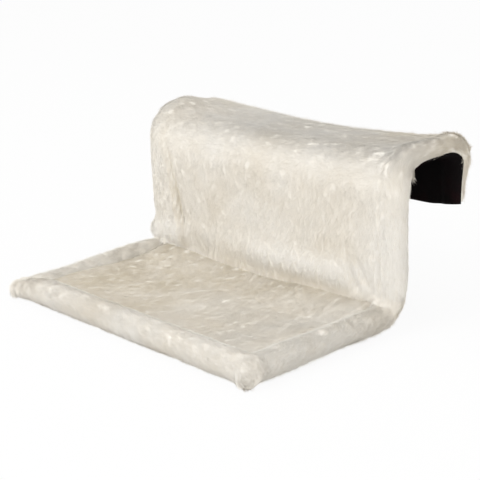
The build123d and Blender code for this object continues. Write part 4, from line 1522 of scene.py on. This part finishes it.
def make_world():
    """Even light that grows towards the top, and white where it is seen itself."""
    world = bpy.data.worlds.new("studio")
    world.use_nodes = True
    graph = Graph(world.node_tree)
    height = graph.split(object_place(graph))[2]
    light = height.clamp() * WORLD_RISE + WORLD_LIGHT
    strength = light + seen_share(graph).clamp() * (1.0 - light)
    back = graph.add("ShaderNodeBackground", None, {"Color": WHITE, "Strength": strength})
    graph.add("ShaderNodeOutputWorld", None, {"Surface": graph.out(back)})
    bpy.context.scene.world = world


def make_stage():
    """Floor, world and lights."""
    bpy.context.scene.view_settings.view_transform = "Standard"
    make_floor()
    make_world()
    area_light("key", (-0.7, -2.3, 1.9), side=2.4, power=46.0, colour=(1.0, 1.0, 1.0))
    area_light("fill", (2.5, -0.7, 0.8), side=1.8, power=16.0, colour=(1.0, 0.95, 0.86))


class BedButton:
    """What the bed's operators share."""

    bl_options = {"REGISTER", "UNDO"}


class OBJECT_OT_bed_camera(BedButton, bpy.types.Operator):
    """Places the camera"""

    bl_idname = "object.bed_camera"
    bl_label = "Camera"

    def execute(self, context):
        """Places the camera."""
        make_camera()
        return {"FINISHED"}


class OBJECT_OT_bed_stage(BedButton, bpy.types.Operator):
    """Builds the floor, the world and the lights"""

    bl_idname = "object.bed_stage"
    bl_label = "Stage"

    def execute(self, context):
        """Builds the stage."""
        make_stage()
        return {"FINISHED"}


class OBJECT_OT_bed_frame(BedButton, bpy.types.Operator):
    """Finishes the tubes, bolts, caps and tapes"""

    bl_idname = "object.bed_frame"
    bl_label = "Frame finishes"

    def execute(self, context):
        """Finishes the frame."""
        finish_frame()
        return {"FINISHED"}


class OBJECT_OT_bed_back(BedButton, bpy.types.Operator):
    """Builds the cover of the back and the hook, with its pile"""

    bl_idname = "object.bed_back"
    bl_label = "Back and hook cover"

    def execute(self, context):
        """Builds the back cover."""
        make_back_cover()
        return {"FINISHED"}


class OBJECT_OT_bed_front(BedButton, bpy.types.Operator):
    """Builds the front roll of the seat, with its pile"""

    bl_idname = "object.bed_front"
    bl_label = "Front roll"

    def execute(self, context):
        """Builds the front roll."""
        make_front_roll()
        return {"FINISHED"}


class OBJECT_OT_bed_sides(BedButton, bpy.types.Operator):
    """Builds the two side rolls of the seat, with their pile"""

    bl_idname = "object.bed_sides"
    bl_label = "Side rolls"

    def execute(self, context):
        """Builds the side rolls."""
        make_seat_roll("left", -1)
        make_seat_roll("right", 1)
        return {"FINISHED"}


class OBJECT_OT_bed_seat(BedButton, bpy.types.Operator):
    """Builds the seat panel, with its pile"""

    bl_idname = "object.bed_seat"
    bl_label = "Seat panel"

    def execute(self, context):
        """Builds the seat panel."""
        make_seat_panel()
        return {"FINISHED"}


class OBJECT_OT_bed_lining(BedButton, bpy.types.Operator):
    """Builds the dark linings and the closure's flap"""

    bl_idname = "object.bed_lining"
    bl_label = "Linings"

    def execute(self, context):
        """Builds the linings."""
        make_throat_lining()
        make_underside()
        make_closure_flap()
        return {"FINISHED"}


PIECE_OPERATORS = (
    OBJECT_OT_bed_camera,
    OBJECT_OT_bed_stage,
    OBJECT_OT_bed_frame,
    OBJECT_OT_bed_back,
    OBJECT_OT_bed_front,
    OBJECT_OT_bed_sides,
    OBJECT_OT_bed_seat,
    OBJECT_OT_bed_lining,
)


class VIEW3D_PT_cat_bed(bpy.types.Panel):
    """Lists the bed's operators and sizes"""

    bl_label = "Cat bed"
    bl_idname = "VIEW3D_PT_cat_bed"
    bl_space_type = "VIEW_3D"
    bl_region_type = "UI"
    bl_category = "Cat bed"

    def draw(self, context):
        """Draws the buttons and the sizes."""
        for operator in PIECE_OPERATORS:
            self.layout.operator(operator.bl_idname)
        for group in (context.scene.bed_sizes, context.scene.bed_colours, context.scene.bed_view):
            for name in group.__annotations__:
                self.layout.prop(group, name)


CLASSES = (BedSizes, BedColours, BedView) + PIECE_OPERATORS + (VIEW3D_PT_cat_bed,)


def register():
    """Registers the classes and their settings."""
    for item in CLASSES:
        bpy.utils.register_class(item)
    bpy.types.Scene.bed_sizes = PointerProperty(type=BedSizes)
    bpy.types.Scene.bed_colours = PointerProperty(type=BedColours)
    bpy.types.Scene.bed_view = PointerProperty(type=BedView)


def unregister():
    """Removes the settings and the classes."""
    del bpy.types.Scene.bed_view
    del bpy.types.Scene.bed_colours
    del bpy.types.Scene.bed_sizes
    for item in reversed(CLASSES):
        bpy.utils.unregister_class(item)


def main():
    """Builds the whole bed on its stage."""
    register()
    for operator in PIECE_OPERATORS:
        group, name = operator.bl_idname.split(".")
        getattr(getattr(bpy.ops, group), name)()


if __name__ == "__main__":
    main()
